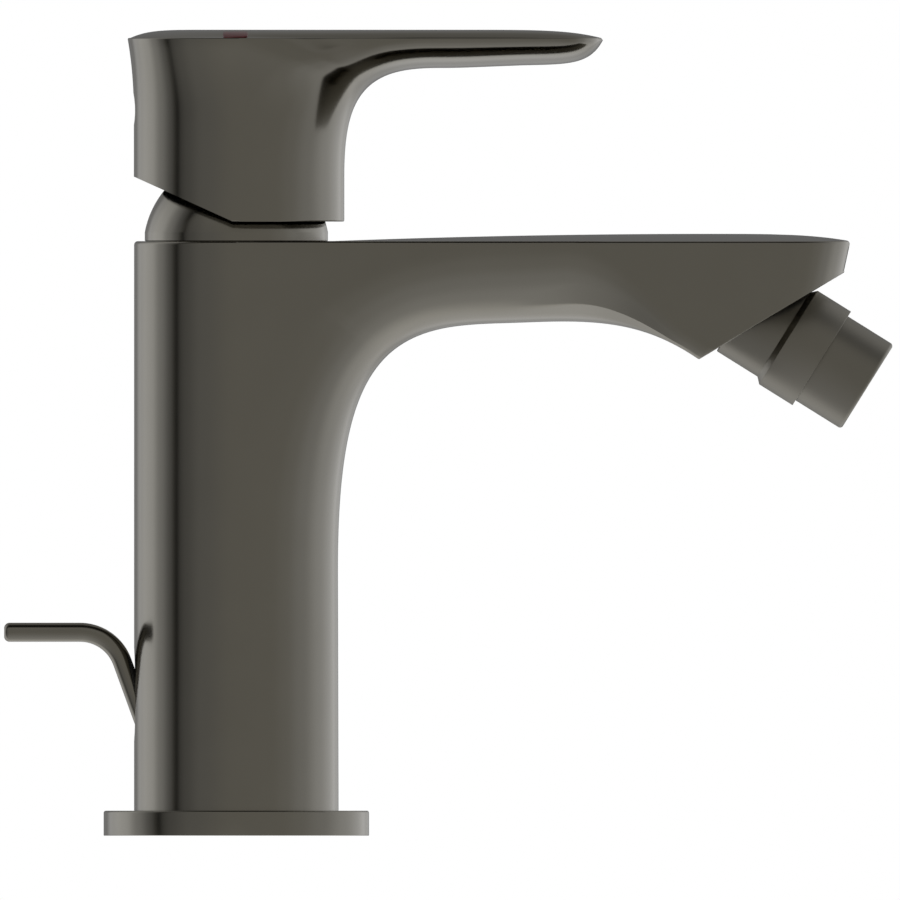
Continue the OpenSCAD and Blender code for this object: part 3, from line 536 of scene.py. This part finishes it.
# %% Mill the nozzle's face, and break its edge in two narrow steps
EDGE_STEPS = ((0.12, 0.22), (0.22, 0.12))  # (inward, outward)
front = [v for v in body_bm.verts if v.co.x > 80 * MM]
near = set(front)
front += [e for e in body_bm.edges if all(v in near for v in e.verts)]
front += [f for f in body_bm.faces if all(v in near for v in f.verts)]
milled = sliced(body_bm, front, foot - 0.34 * face_normal, face_normal)
for inward, outward in EDGE_STEPS:
    bmesh.ops.inset_region(body_bm, faces=milled, thickness=inward * MM, depth=outward * MM,
                           use_even_offset=True, use_boundary=True)
body_piece = finished(body_bm, "mixer_body", "body", "gunmetal", ["body_casting"])


# %% [markdown]
# The casting is hollow where it matters: a well under the column for the hoses, a recess
# for the ball joint, and a sloping bore for the lift rod's guide. Each is drilled with a
# closed cutter, because that is how the real one is made.

# %% Drill the well, the recess and the rod's bore
def bar(start, direction, length, radius, steps=96):
    """A round cutter from a start point along a direction, in mm."""
    bm = bmesh.new()
    bmesh.ops.create_cone(bm, cap_ends=True, segments=steps, radius1=radius * MM,
                          radius2=radius * MM, depth=length * MM)
    direction = Vector(direction).normalized()
    turn = Vector((0, 0, 1)).rotation_difference(direction).to_matrix().to_4x4()
    middle = (Vector(start) + direction * length / 2) * MM
    bmesh.ops.transform(bm, matrix=Matrix.Translation(middle) @ turn, verts=bm.verts)
    return bm


UP = Vector((0, 0, 1))
ROD_ANGLE = math.radians(20)
ROD_ENTRY = Vector((-BODY_R, 0, 31.1))
rod_way = Vector((-math.sin(ROD_ANGLE), 0, math.cos(ROD_ANGLE)))
WELL_R, WELL_TOP, RECESS_R, RECESS_DEPTH = 18.0, 62, 13.7, 9.04
GUIDE_R, HOSE_R, STUD_R = 3.5, 5.0, 3.0
cut(body_piece, bar((0, 0, -1), UP, WELL_TOP + 1, WELL_R))
cut(body_piece, bar(ball_centre - RECESS_DEPTH * face_normal, face_normal, 40, RECESS_R))
cut(body_piece, bar(ROD_ENTRY - 22 * rod_way, rod_way, 35, GUIDE_R, 64))
for side in (-1, 1):
    cut(body_piece, bar((4.8, side * 8, WELL_TOP - 1), UP, 13, HOSE_R, 64))
    cut(body_piece, bar((-7, side * 8.5, WELL_TOP - 1), UP, 15, STUD_R, 48))
steady_normals(body_piece)

# %% [markdown]
# ## Base ring
# The ring under the column is a turned part with a half-millimetre round on its upper edge,
# a groove for the gasket below, and a seat for the column above.

# %% Turn the base ring
RING_R, RING_H, RING_SEAT = 29.2, 5.5, (22.6, 2)
ring_profile = [(WELL_R, 0), (24, 0), (24, 1.3), (27, 1.3), (27, 0)]
ring_profile += rounded((27, 0), (RING_R, 0), (RING_R, 5), 0.15, 3)
ring_profile += rounded((RING_R, 0), (RING_R, RING_H), (20, RING_H), 0.5, 8)
ring_profile += [(RING_SEAT[0], RING_H), RING_SEAT, (WELL_R, RING_SEAT[1])]
finished(turned(ring_profile, 192), "base_ring_turned", "body", "gunmetal", ["base_ring"])

# %% [markdown]
# ## Domed cap
# The cap plugs into the rim and covers the cartridge. Its dome is part of a sphere about
# the lever's tilt axis, so that the lever can rock over it with an even gap.

# %% Turn the domed cap
DOME_R, DOME_INNER_R, DOME_MOUTH_R = 20.5, 19.1, 15.2
CAP_BORE_R, CAP_PLUG_R, CAP_FOOT_R, CAP_LOW_Z = 17.6, 19.6, 20.15, 126.5


def dome_arc(radius, foot_h, steps):
    """A sphere's profile about the tilt axis, from the cap's mouth down to its foot."""
    first, last = math.asin(DOME_MOUTH_R / radius), math.acos(foot_h / radius)
    return [(radius * math.sin(a), PIVOT_Z + radius * math.cos(a))
            for a in [mix(first, last, i / steps) for i in range(steps + 1)]]


cap_profile = [(CAP_BORE_R, CAP_LOW_Z), (CAP_PLUG_R, CAP_LOW_Z), (CAP_PLUG_R, RIM_Z),
               (CAP_FOOT_R - 0.15, RIM_Z), (CAP_FOOT_R, RIM_Z + 0.15),
               (CAP_FOOT_R, RIM_Z + 1.95)]
cap_profile += dome_arc(DOME_R, 3.75, 32)[::-1] + dome_arc(DOME_INNER_R, 3.8, 16)
cap_profile += [(CAP_BORE_R, RIM_Z + 2)]
finished(turned(cap_profile, 160), "domed_cap_turned", "body", "gunmetal", ["domed_cap"])


# %% [markdown]
# ## Lever
# The lever is a hollow casting: a round skirt over the dome, which flares a little at the
# back, and a flat handle that runs out of it with an elliptical underside and a crowned top.

# %% Outlines of the lever
SKIRT_FRONT, THROAT_Z = SKIRT_X + SKIRT_R, EDGE_Z - 30.4
EDGE_ROUND, FOOT_ROUND = 0.35, 0.3  # of the top's side edge and of the skirt's lower edge
FLARE_POWER = 2.2
SQUARED = 0.35  # how far the power of the back's arc, seen from above, is over an ellipse's 2
throat_curve = [(SKIRT_FRONT, THROAT_Z), (SKIRT_FRONT, THROAT_Z + 15.7),
                (SKIRT_FRONT + 3.2, EDGE_Z - 6.0), (SKIRT_FRONT + 21, EDGE_Z - 6.75)]
tip_curve = [(HANDLE_REACH - 18.2, EDGE_Z - 6.05), (HANDLE_REACH - 8, EDGE_Z - 5.75),
             (HANDLE_REACH - 3, EDGE_Z - 6.2), (HANDLE_REACH, EDGE_Z - 0.5)]


def lever_width(x):
    """Half the lever's width: the skirt's, then the handle's, which ends in a blunt oval."""
    tip = max(0.0, x - (HANDLE_REACH - 0.1 - HANDLE_END)) / HANDLE_END
    side = mix(SKIRT_R, HANDLE_HALF, ease((x - SKIRT_X - 7) / 33))
    return side * max(0.0, 1 - tip ** 2.6) ** (1 / 2.6)


def flare(path):
    """The flare at the side and its extra at the back, path mm past the skirt's top corner.

    At the side it levels off over the last 2 mm, so that it has no kink at the corner.
    """
    share = max(0.0, min(path, 0.0) + FLARE_H) / FLARE_H
    full = FLARE * share ** FLARE_POWER
    eased = full
    if path > -2:
        start = FLARE * (1 - 2 / FLARE_H) ** FLARE_POWER
        slope = FLARE_POWER * FLARE / FLARE_H * (1 - 2 / FLARE_H) ** 1.2
        q = min(path, 0.0) + 2
        eased = start + slope * (q - q * q / 4)
    fade = 1 - ease(max(0.0, path) / 30)
    return eased * fade, (full - eased) * fade


def lever_rise(x):
    """How high the lever's top is crowned, which fades to nothing at the tip."""
    tip = max(0.0, x - (HANDLE_REACH - 34.4)) / 34
    return CROWN * max(0.0, 1 - tip ** 5)


def lever_section(low, high, inset, back, depth=None, local=0.0):
    """One section of the lever; local is how far its sides keep to the width at each x."""
    length = (Vector(high) - Vector(low)).length
    side, lip = flare(high[1] - EDGE_Z + max(0.0, high[0] - SKIRT_X))
    width = lever_width(high[0]) + side
    square = 2 + SQUARED * ease((high[1] - EDGE_Z + FLARE_H) / FLARE_H)
    deep = max(length - 0.35, 0.5 * length) if depth is None else depth
    points = section(low, high, width, width - SLIVER, deep, min(0.3, 0.25 * length), inset,
                     SKIRT_X, back, square, lever_rise(high[0]), 8, lip)
    if local:
        for i in list(range(SIDE_POINTS)) + list(range(-SIDE_POINTS, 0)):
            x, y, z = points[i]
            points[i] = (x, y * mix(1, lever_width(x) / lever_width(high[0]), local), z)
    return points


# %% Sections from the skirt to the handle's tip
# Round the throat each section ends its rounding on the turn curve, which is smooth, and runs
# on straight from there to the skirt's axis or to the side edge.
BACK_GONE = 26.4  # how far along the side edge a section's top no longer reaches round the back
turn_curve = [(SKIRT_X, THROAT_Z), (SKIRT_X, EDGE_Z - 7),
              (SKIRT_X + 10, EDGE_Z - 0.35), (throat_curve[3][0], EDGE_Z - 0.35)]


def fan_line(t):
    """A section's lowest point, the end of its rounding, and its height over the skirt's axis."""
    low = drawn_out(bezier(throat_curve, t), throat_curve[3][0], 0.08, 7)
    turn = bezier(turn_curve, t)
    rise = (turn[1] - low[1]) / max(0.001, low[0] - turn[0])
    return low, turn, turn[1] + rise * (turn[0] - SKIRT_X)


def fan_t(height):
    """Where on the throat a section reaches a height over the skirt's axis."""
    under, above = 0.02, 0.9
    for _ in range(40):
        middle = 0.5 * (under + above)
        if fan_line(middle)[2] < height:
            under = middle
        else:
            above = middle
    return under


def fan_section(t, at_edge=False):
    """The section at t round the throat; at_edge is for those that end on the side edge."""
    low, turn, height = fan_line(t)
    depth = math.dist(low, turn)
    if at_edge:
        share = (EDGE_Z - low[1]) / (turn[1] - low[1])
        high = (low[0] + (turn[0] - low[0]) * share, EDGE_Z)
        past = (high[0] - SKIRT_X) / BACK_GONE
        return lever_section(low, high, EDGE_ROUND, max(0.0, 1 - past ** 3.2), depth,
                             0.5 * ease(past - 0.2))
    a = math.asin(max(0.0, 1 - (EDGE_Z - height) / EDGE_ROUND))
    return lever_section(low, (SKIRT_X, height), EDGE_ROUND * (1 - math.cos(a)), 1, depth)


foot_x = SKIRT_FRONT - FOOT_ROUND
sections = [lever_section((foot_x, SKIRT_Z), (SKIRT_X, SKIRT_Z), FOOT_ROUND, 1)]
for i in range(1, 5):
    a = math.radians(22.5 * i)
    z = SKIRT_Z + FOOT_ROUND * (1 - math.cos(a))
    sections.append(lever_section((foot_x + FOOT_ROUND * math.sin(a), z), (SKIRT_X, z),
                                  FOOT_ROUND - FOOT_ROUND * math.sin(a), 1))
side_t, edge_t = fan_t(EDGE_Z - EDGE_ROUND), fan_t(EDGE_Z)
print("lever fan:", round(side_t, 4), round(edge_t, 4))
for i in range(29):
    sections.append(fan_section(side_t * i / 28))
for i in range(1, 5):
    a = math.radians(18 * i)
    sections.append(fan_section(fan_t(EDGE_Z - EDGE_ROUND * (1 - math.sin(a)))))
for i in range(57):
    sections.append(fan_section(mix(edge_t + 1e-4, 1, i / 56), True))
for i in range(1, 12):
    low_x = mix(throat_curve[3][0], tip_curve[0][0], i / 12)
    low_z = mix(throat_curve[3][1], tip_curve[0][1], i / 12)
    low = drawn_out((low_x, low_z), throat_curve[3][0], 0.08, 7)
    sections.append(lever_section(low, (low_x, EDGE_Z), EDGE_ROUND, 0))
for i in range(33):
    low = bezier(tip_curve, i / 32)
    sections.append(lever_section(low, (low[0] - 0.4 * i / 32, EDGE_Z), EDGE_ROUND, 0))
lever_bm = loft(sections)
print("lever sections:", len(sections))

# %% Cut the relief under the back, and the hollow
BACKWARDS = Vector((-1, 0, 0))
RELIEF, RELIEF_X = math.radians(24.4), -0.75
SCREW_Z, SCREW_HOLE_R = RIM_Z + 29.1, 3.5
whole = list(lever_bm.verts) + list(lever_bm.edges) + list(lever_bm.faces)
sliced(lever_bm, whole, (RELIEF_X, 0, SKIRT_Z), (-math.sin(RELIEF), 0, -math.cos(RELIEF)))
lever_piece = finished(lever_bm, "lever_cast", "lever_body", "gunmetal", ["lever"])
HOLLOW_R, HOLLOW_TOP_R, HOLLOW_STEP, HOLLOW_TOP = 21.0, 19.4, PIVOT_Z + 21, EDGE_Z - 7.5
hollow_profile = [(0, 130), (HOLLOW_R, 130), (HOLLOW_R, HOLLOW_STEP),
                  (HOLLOW_TOP_R, HOLLOW_STEP), (HOLLOW_TOP_R, HOLLOW_TOP), (0, HOLLOW_TOP)]
cut(lever_piece, turned(hollow_profile, 128, False))
cut(lever_piece, bar((-11, 0, SCREW_Z), BACKWARDS, 20, SCREW_HOLE_R, 64))
steady_normals(lever_piece)

# %% [markdown]
# The spindle's boss stands inside the hollow, with a cross boss for the lever screw.

# %% Boss for the spindle and the screw
BOSS_R, ARM_R, SOCKET_W, SOCKET_TOP = 7.4, 5.1, 8.1, SCREW_Z + 4.5
boss_bm = bar((0, 0, PIVOT_Z + 13.5), UP, EDGE_Z - 7.0 - PIVOT_Z - 13.5, BOSS_R, 64)
boss = finished(boss_bm, "lever_boss", "lever_body", "gunmetal")
socket = bmesh.new()
bmesh.ops.create_cube(socket, size=1)
bmesh.ops.scale(socket, vec=(SOCKET_W * MM, SOCKET_W * MM, 60 * MM), verts=socket.verts)
bmesh.ops.translate(socket, vec=(0, 0, (SOCKET_TOP - 30) * MM), verts=socket.verts)
cut(boss, socket)
arm_bm = bar((-7.0, 0, SCREW_Z), BACKWARDS, 13.0, ARM_R, 48)
arm = finished(arm_bm, "lever_screw_boss", "lever_body", "gunmetal")
cut(arm, bar((-5, 0, SCREW_Z), BACKWARDS, 20, SCREW_HOLE_R, 48))

# %% Plug over the lever screw
PLUG_R, PLUG_SUNK = 3.44, 0.25
plug_profile = [(0, 0)] + rounded((0, 0), (PLUG_R, 0), (PLUG_R, 4), 0.25, 4)
plug_profile += [(PLUG_R, 5), (0, 5)]
plug_place = (Matrix.Translation(Vector((SKIRT_X - SKIRT_R + PLUG_SUNK, 0, SCREW_Z)) * MM)
              @ Matrix.Rotation(math.radians(90), 4, "Y"))
finished(turned(plug_profile, 64, False), "lever_plug", "lever_body", "gunmetal", ["screw_plug"],
         place=plug_place)


# %% [markdown]
# ## Index marks
# A red and a blue enamel mark lie in the lever's top, at its two side edges: red is hot, on
# the side of negative Y, and blue is cold, on the other.

# %% Enamel marks
MARK_X, MARK_Y, MARK_HALF_X, MARK_HALF_Y, MARK_PROUD = -0.2, 21.6, 2.75, 2.1, 0.03


def lever_top(x, y):
    """Height of the lever's crowned top over its side edge."""
    width = lever_width(x) + flare(x - SKIRT_X)[0] - EDGE_ROUND
    back, out, square = max(0.0, SKIRT_X - x) / width, abs(y) / width, 2 + SQUARED
    q = (back ** square + out ** square) ** (1 / square)
    return EDGE_Z + lever_rise(x) * (1 - min(1.0, q) ** 8)


def enamel(name, dark, light):
    """Glassy colour, a little cloudy."""
    material, tree, surface, place = shader(name)
    cloud = add_node(tree, "ShaderNodeTexNoise", {"Vector": place, "Scale": 900.0, "Detail": 2.0})
    tinted(tree, surface, cloud, dark, light)
    surface.inputs["Roughness"].default_value = 0.18
    surface.inputs["Coat Weight"].default_value = 0.15
    return material


def softened(u, v):
    """How much a point of a square moves in, so that the square's corners are round."""
    if not (u or v):
        return 1
    return 1 / max(1e-6, (abs(u) ** 6 + abs(v) ** 6) ** (1 / 6)) * max(abs(u), abs(v))


for side, name, material in ((-1, "mark_hot", enamel("enamel_red", "#55090C", "#660C10")),
                             (1, "mark_cold", enamel("enamel_blue", "#12286A", "#17307C"))):
    bm = bmesh.new()
    bmesh.ops.create_grid(bm, x_segments=24, y_segments=20, size=0.5)
    for vert in bm.verts:
        u, v = vert.co.x * 2, vert.co.y * 2
        x = MARK_X + MARK_HALF_X * u * softened(u, v)
        y = side * (MARK_Y + MARK_HALF_Y * v * softened(u, v))
        vert.co = Vector((x, y, lever_top(x, y) + MARK_PROUD)) * MM
    bmesh.ops.recalc_face_normals(bm, faces=bm.faces)
    piece = finished(bm, name, "lever_body", "gunmetal", sharp_deg=40)
    piece.data.materials.clear()
    piece.data.materials.append(material)
    thick = piece.modifiers.new("enamel depth", "SOLIDIFY")
    thick.thickness = 0.0003
    thick.offset = -1 if piece.data.polygons[0].normal.z > 0 else 1

# %% [markdown]
# ## Nozzle
# The nozzle is two turned pieces on one axis: a shell that grips the ball and widens to a
# collar, and an outlet ring that holds the aerator. Heights are from the ball's centre.

# %% Turn the swivel shell and the outlet ring
BALL_R, MOUTH_R, MOUTH_H, STEM_R, BORE_R = 7.55, 6.9, -3.5, 10.9, 9
COLLAR_R, COLLAR_LOW, COLLAR_TOP = 12.15, 8.35, 17
OUTLET_TOP, OUTLET_BORE_R, INSERT_R, OUTLET_PLUG_R = 28.85, 6.8, 7.4, 8.85
nozzle_axis = Matrix.Translation(ball_centre * MM) @ Matrix.Rotation(
    math.pi - FACE_ANGLE - NOZZLE_TILT, 4, "Y")
ball_arc = [(BALL_R * math.sin(a), -BALL_R * math.cos(a)) for a in
            [mix(math.asin(MOUTH_R / BALL_R), math.pi / 2, i / 8) for i in range(9)]]
bevel_low, bevel_top = (STEM_R, 7.1), (COLLAR_R, COLLAR_LOW)
shell_profile = [(MOUTH_R, MOUTH_H)]
shell_profile += rounded((MOUTH_R, MOUTH_H), (STEM_R, MOUTH_H), (STEM_R, 0), 0.3, 4)
shell_profile += rounded((STEM_R, 0), bevel_low, bevel_top, 0.25, 3)
shell_profile += rounded(bevel_low, bevel_top, (COLLAR_R, 12), 0.25, 3)
shell_profile += rounded((COLLAR_R, 12), (COLLAR_R, COLLAR_TOP), (BORE_R, COLLAR_TOP), 0.1, 3)
shell_profile += [(BORE_R, COLLAR_TOP), (BORE_R, 1), (BALL_R, 1)] + ball_arc[::-1]
finished(turned(shell_profile), "swivel_shell_turned", "nozzle", "gunmetal_satin",
         ["swivel_shell"], place=nozzle_axis)
outlet_profile = [(INSERT_R, 7.2), (OUTLET_PLUG_R, 7.2), (OUTLET_PLUG_R, 16.9), (STEM_R, 16.9)]
outlet_profile += rounded((STEM_R, 20), (STEM_R, OUTLET_TOP), (7, OUTLET_TOP), 0.8, 8)
outlet_profile += rounded((8, OUTLET_TOP), (OUTLET_BORE_R, OUTLET_TOP), (OUTLET_BORE_R, 27),
                          0.2, 4)
outlet_profile += [(OUTLET_BORE_R, OUTLET_TOP - 1), (INSERT_R, OUTLET_TOP - 1)]
finished(turned(outlet_profile), "outlet_ring_turned", "nozzle", "gunmetal_satin",
         ["outlet_ring"], place=nozzle_axis)

# %% [markdown]
# ## Lift rod
# A round bar of 4.2 mm is bent once and its end is rounded. It is lofted along its own
# middle line, with more sections where it bends. Its shoulder lies 4.6 mm lower than the
# solid's, so that it stays in the guide when the rod is fully out.

# %% Bend the lift rod
ROD_R, BEND_R, HANDLE_Z, ROD_REACH, ROD_FOOT = 2.1, 9.9, 44.75, 51.1, 4.0
THREAD_R, TIP_ROUND, ROD_SIDES = 1.5, 1.2, 64
corner = Vector((ROD_ENTRY.x - (HANDLE_Z - ROD_ENTRY.z) * math.tan(ROD_ANGLE), 0, HANDLE_Z))
turn = math.pi / 2 - ROD_ANGLE
setback = BEND_R * math.tan(turn / 2)
rod_foot = ROD_ENTRY - rod_way * ((ROD_ENTRY.z - ROD_FOOT) / math.cos(ROD_ANGLE))
path = [(rod_foot + up * rod_way, rod_way, radius) for up, radius in
        ((0, THREAD_R - 0.15), (0.2, THREAD_R), (2.3, THREAD_R), (2.4, ROD_R - 0.1),
         (2.55, ROD_R), (20, ROD_R))]
bend_middle = Vector((corner.x - setback, 0, HANDLE_Z - BEND_R))
for i in range(25):
    a = ROD_ANGLE + turn * i / 24
    out = Vector((math.cos(a), 0, math.sin(a)))
    path.append((bend_middle + BEND_R * out, Vector((-out.z, 0, out.x)), ROD_R))
end = Vector((-ROD_REACH, 0, HANDLE_Z))
path.append((end - 6 * BACKWARDS, BACKWARDS, ROD_R))
for i in range(9):
    a = math.radians(90 * i / 8)
    path.append((end - TIP_ROUND * (1 - math.sin(a)) * BACKWARDS, BACKWARDS,
                 ROD_R - TIP_ROUND * (1 - math.cos(a))))
rings = []
for middle, way, radius in path:
    out = Vector((way.z, 0, -way.x))
    rings.append([middle + radius * (math.cos(a) * out + math.sin(a) * Vector((0, 1, 0)))
                  for a in [math.tau * k / ROD_SIDES for k in range(ROD_SIDES)]])
finished(loft(rings), "lift_rod_bent", "rod", "gunmetal", ["lift_rod"])

# %% [markdown]
# ## Studio
# The floor and the world behind it are white to the camera. The light comes from the world:
# a wide soft tent with a left and a right panel, a narrow gap between the left panel and the
# room, and a dark slot overhead. Polished metal is nothing but its reflections, so these few
# panels are what draws its form.

# %% Floor
floor_bm = bmesh.new()
bmesh.ops.create_grid(floor_bm, x_segments=1, y_segments=1, size=3.0)
floor = placed("studio_floor", mesh_of(floor_bm, "studio_floor"))
floor.location.z = -0.0001

# %% Floor that reads as white paper but keeps the shadow
# To polished metal it is clear, so that the metal sees the tent's lower half in its place,
# which is pale and even too. To the camera it glows a little, so that it stays white.
floor_material, tree, paper, _ = shader("studio_floor_white")
paper.inputs["Base Color"].default_value = linear("#F2F2F2")
paper.inputs["Roughness"].default_value = 0.9
floor.data.materials.append(floor_material)
rays = add_node(tree, "ShaderNodeLightPath")
clear = add_node(tree, "ShaderNodeBsdfTransparent")
by_metal = add_node(tree, "ShaderNodeMath", {0: rays.outputs["Is Glossy Ray"],
                                             1: rays.outputs["Is Transmission Ray"]},
                    operation="MAXIMUM")
glow = add_node(tree, "ShaderNodeEmission", {"Color": (1, 1, 1, 1), "Strength": 0.6})
pale = add_node(tree, "ShaderNodeAddShader", {0: paper.outputs[0], 1: glow.outputs[0]})
lit = add_node(tree, "ShaderNodeMixShader", {0: rays.outputs["Is Camera Ray"],
                                             1: paper.outputs[0], 2: pale.outputs[0]})
blend = add_node(tree, "ShaderNodeMixShader", {0: by_metal.outputs[0], 1: lit.outputs[0],
                                               2: clear.outputs[0]})
tree.links.new(blend.outputs[0], tree.nodes["Material Output"].inputs["Surface"])

# %% World: a light tent made of soft panels
world = bpy.data.worlds.new("studio_tent")
bpy.context.scene.world = world
world.use_nodes = True
tree = world.node_tree
tree.nodes.clear()
direction = add_node(tree, "ShaderNodeTexCoord").outputs["Generated"]
parts = add_node(tree, "ShaderNodeSeparateXYZ", {"Vector": direction})
sideways, upward = parts.outputs["X"], parts.outputs["Z"]
forward = add_node(tree, "ShaderNodeMath", {0: parts.outputs["Y"], 1: -1.0},
                   operation="MULTIPLY").outputs[0]


def panels(towards, stops):
    """Levels by the angle from the camera's side round to a direction, in degrees.

    A stop is (degrees, level, cool): the panels are daylight, the room is a little warmer.
    """
    angle = add_node(tree, "ShaderNodeMath", {0: towards, 1: forward}, operation="ARCTAN2")
    share = add_node(tree, "ShaderNodeMapRange", {"Value": angle.outputs[0], "From Min": -math.pi,
                                                  "From Max": math.pi})
    node = add_node(tree, "ShaderNodeValToRGB", {"Fac": share.outputs["Result"]})
    node.color_ramp.interpolation = "EASE"
    ramp = node.color_ramp
    while len(ramp.elements) > 1:
        ramp.elements.remove(ramp.elements[-1])
    for k, (degrees, level, cool) in enumerate(stops):
        stop = ramp.elements[0] if k == 0 else ramp.elements.new((degrees + 180) / 360)
        stop.position = (degrees + 180) / 360
        stop.color = (level * (1 - 0.04 * cool), level, level * (1 + 0.12 * cool), 1)
    return node.outputs["Color"]


# Strengths are shares of the brightest panel. To the left: the left panel, the gap beside
# it, the room behind the camera; to the right: a wide right panel that fades towards the back.
TENT_POWER = 1.27
around = panels(sideways, [(-180, 0.12, 0), (-156, 0.26, 0), (-140, 0.75, 0.4), (-124, 0.99, 0.6),
                           (-112, 0.98, 0.8), (-96, 0.56, 0.8), (-80, 0.235, 0.7),
                           (-75.5, 0.10, 0), (-71.5, 0.01, 0), (-67, 0.15, 0.5),
                           (-60, 0.205, 0.5), (-40, 0.29, 0.4), (0, 0.345, 0), (40, 0.355, 0),
                           (57, 0.40, 0.2), (80, 0.52, 0.6), (108, 0.78, 0.8), (128, 0.90, 0.7),
                           (143, 0.94, 0.4), (157, 0.58, 0), (180, 0.12, 0)])
# Below: the pale floor, brighter straight down. Above: the room, then a dark slot overhead
# and the back of the tent.
over = panels(upward, [(-180, 0.12, 0), (-156, 0.46, 0), (-140, 0.88, 0.3), (-116, 0.95, 0.5),
                       (-80, 0.63, 0.6), (-52, 0.51, 0.5), (-26, 0.41, 0.2), (0, 0.345, 0),
                       (22, 0.33, 0), (48, 0.37, 0.2), (57, 0.33, 0), (65, 0.02, 0),
                       (88, 0.02, 0), (97, 0.06, 0), (108, 0.27, 0.2), (140, 0.24, 0),
                       (180, 0.12, 0)])
x_squared = add_node(tree, "ShaderNodeMath", {0: sideways, 1: 2.0}, operation="POWER")
z_squared = add_node(tree, "ShaderNodeMath", {0: upward, 1: 2.0}, operation="POWER")
both = add_node(tree, "ShaderNodeMath", {0: x_squared.outputs[0], 1: z_squared.outputs[0]},
                operation="ADD")
lean = add_node(tree, "ShaderNodeMath", {0: z_squared.outputs[0], 1: both.outputs[0]},
                operation="DIVIDE")
tent = add_node(tree, "ShaderNodeMix", {"Factor": lean.outputs[0], "A": around, "B": over},
                data_type="RGBA")
tent_light = add_node(tree, "ShaderNodeBackground", {"Color": tent.outputs["Result"],
                                                       "Strength": TENT_POWER})
white = add_node(tree, "ShaderNodeBackground", {"Color": (1, 1, 1, 1), "Strength": 1.0})
rays = add_node(tree, "ShaderNodeLightPath")
seen = add_node(tree, "ShaderNodeMixShader", {0: rays.outputs["Is Camera Ray"],
                                              1: tent_light.outputs[0], 2: white.outputs[0]})
add_node(tree, "ShaderNodeOutputWorld", {"Surface": seen.outputs[0]})

# %% Camera, level with the mixer and square to its side
VIEW_WIDTH = 0.198  # in metres: 900 pixels of 0.22 mm
camera_data = bpy.data.cameras.new("camera")
camera_data.type = "ORTHO"
camera_data.ortho_scale = VIEW_WIDTH
camera = placed("camera", camera_data)
camera.location = (0.0470, -1.0, 0.08485)
camera.rotation_euler = (math.pi / 2, 0, 0)
bpy.context.scene.camera = camera
bpy.context.scene.view_settings.view_transform = "Standard"
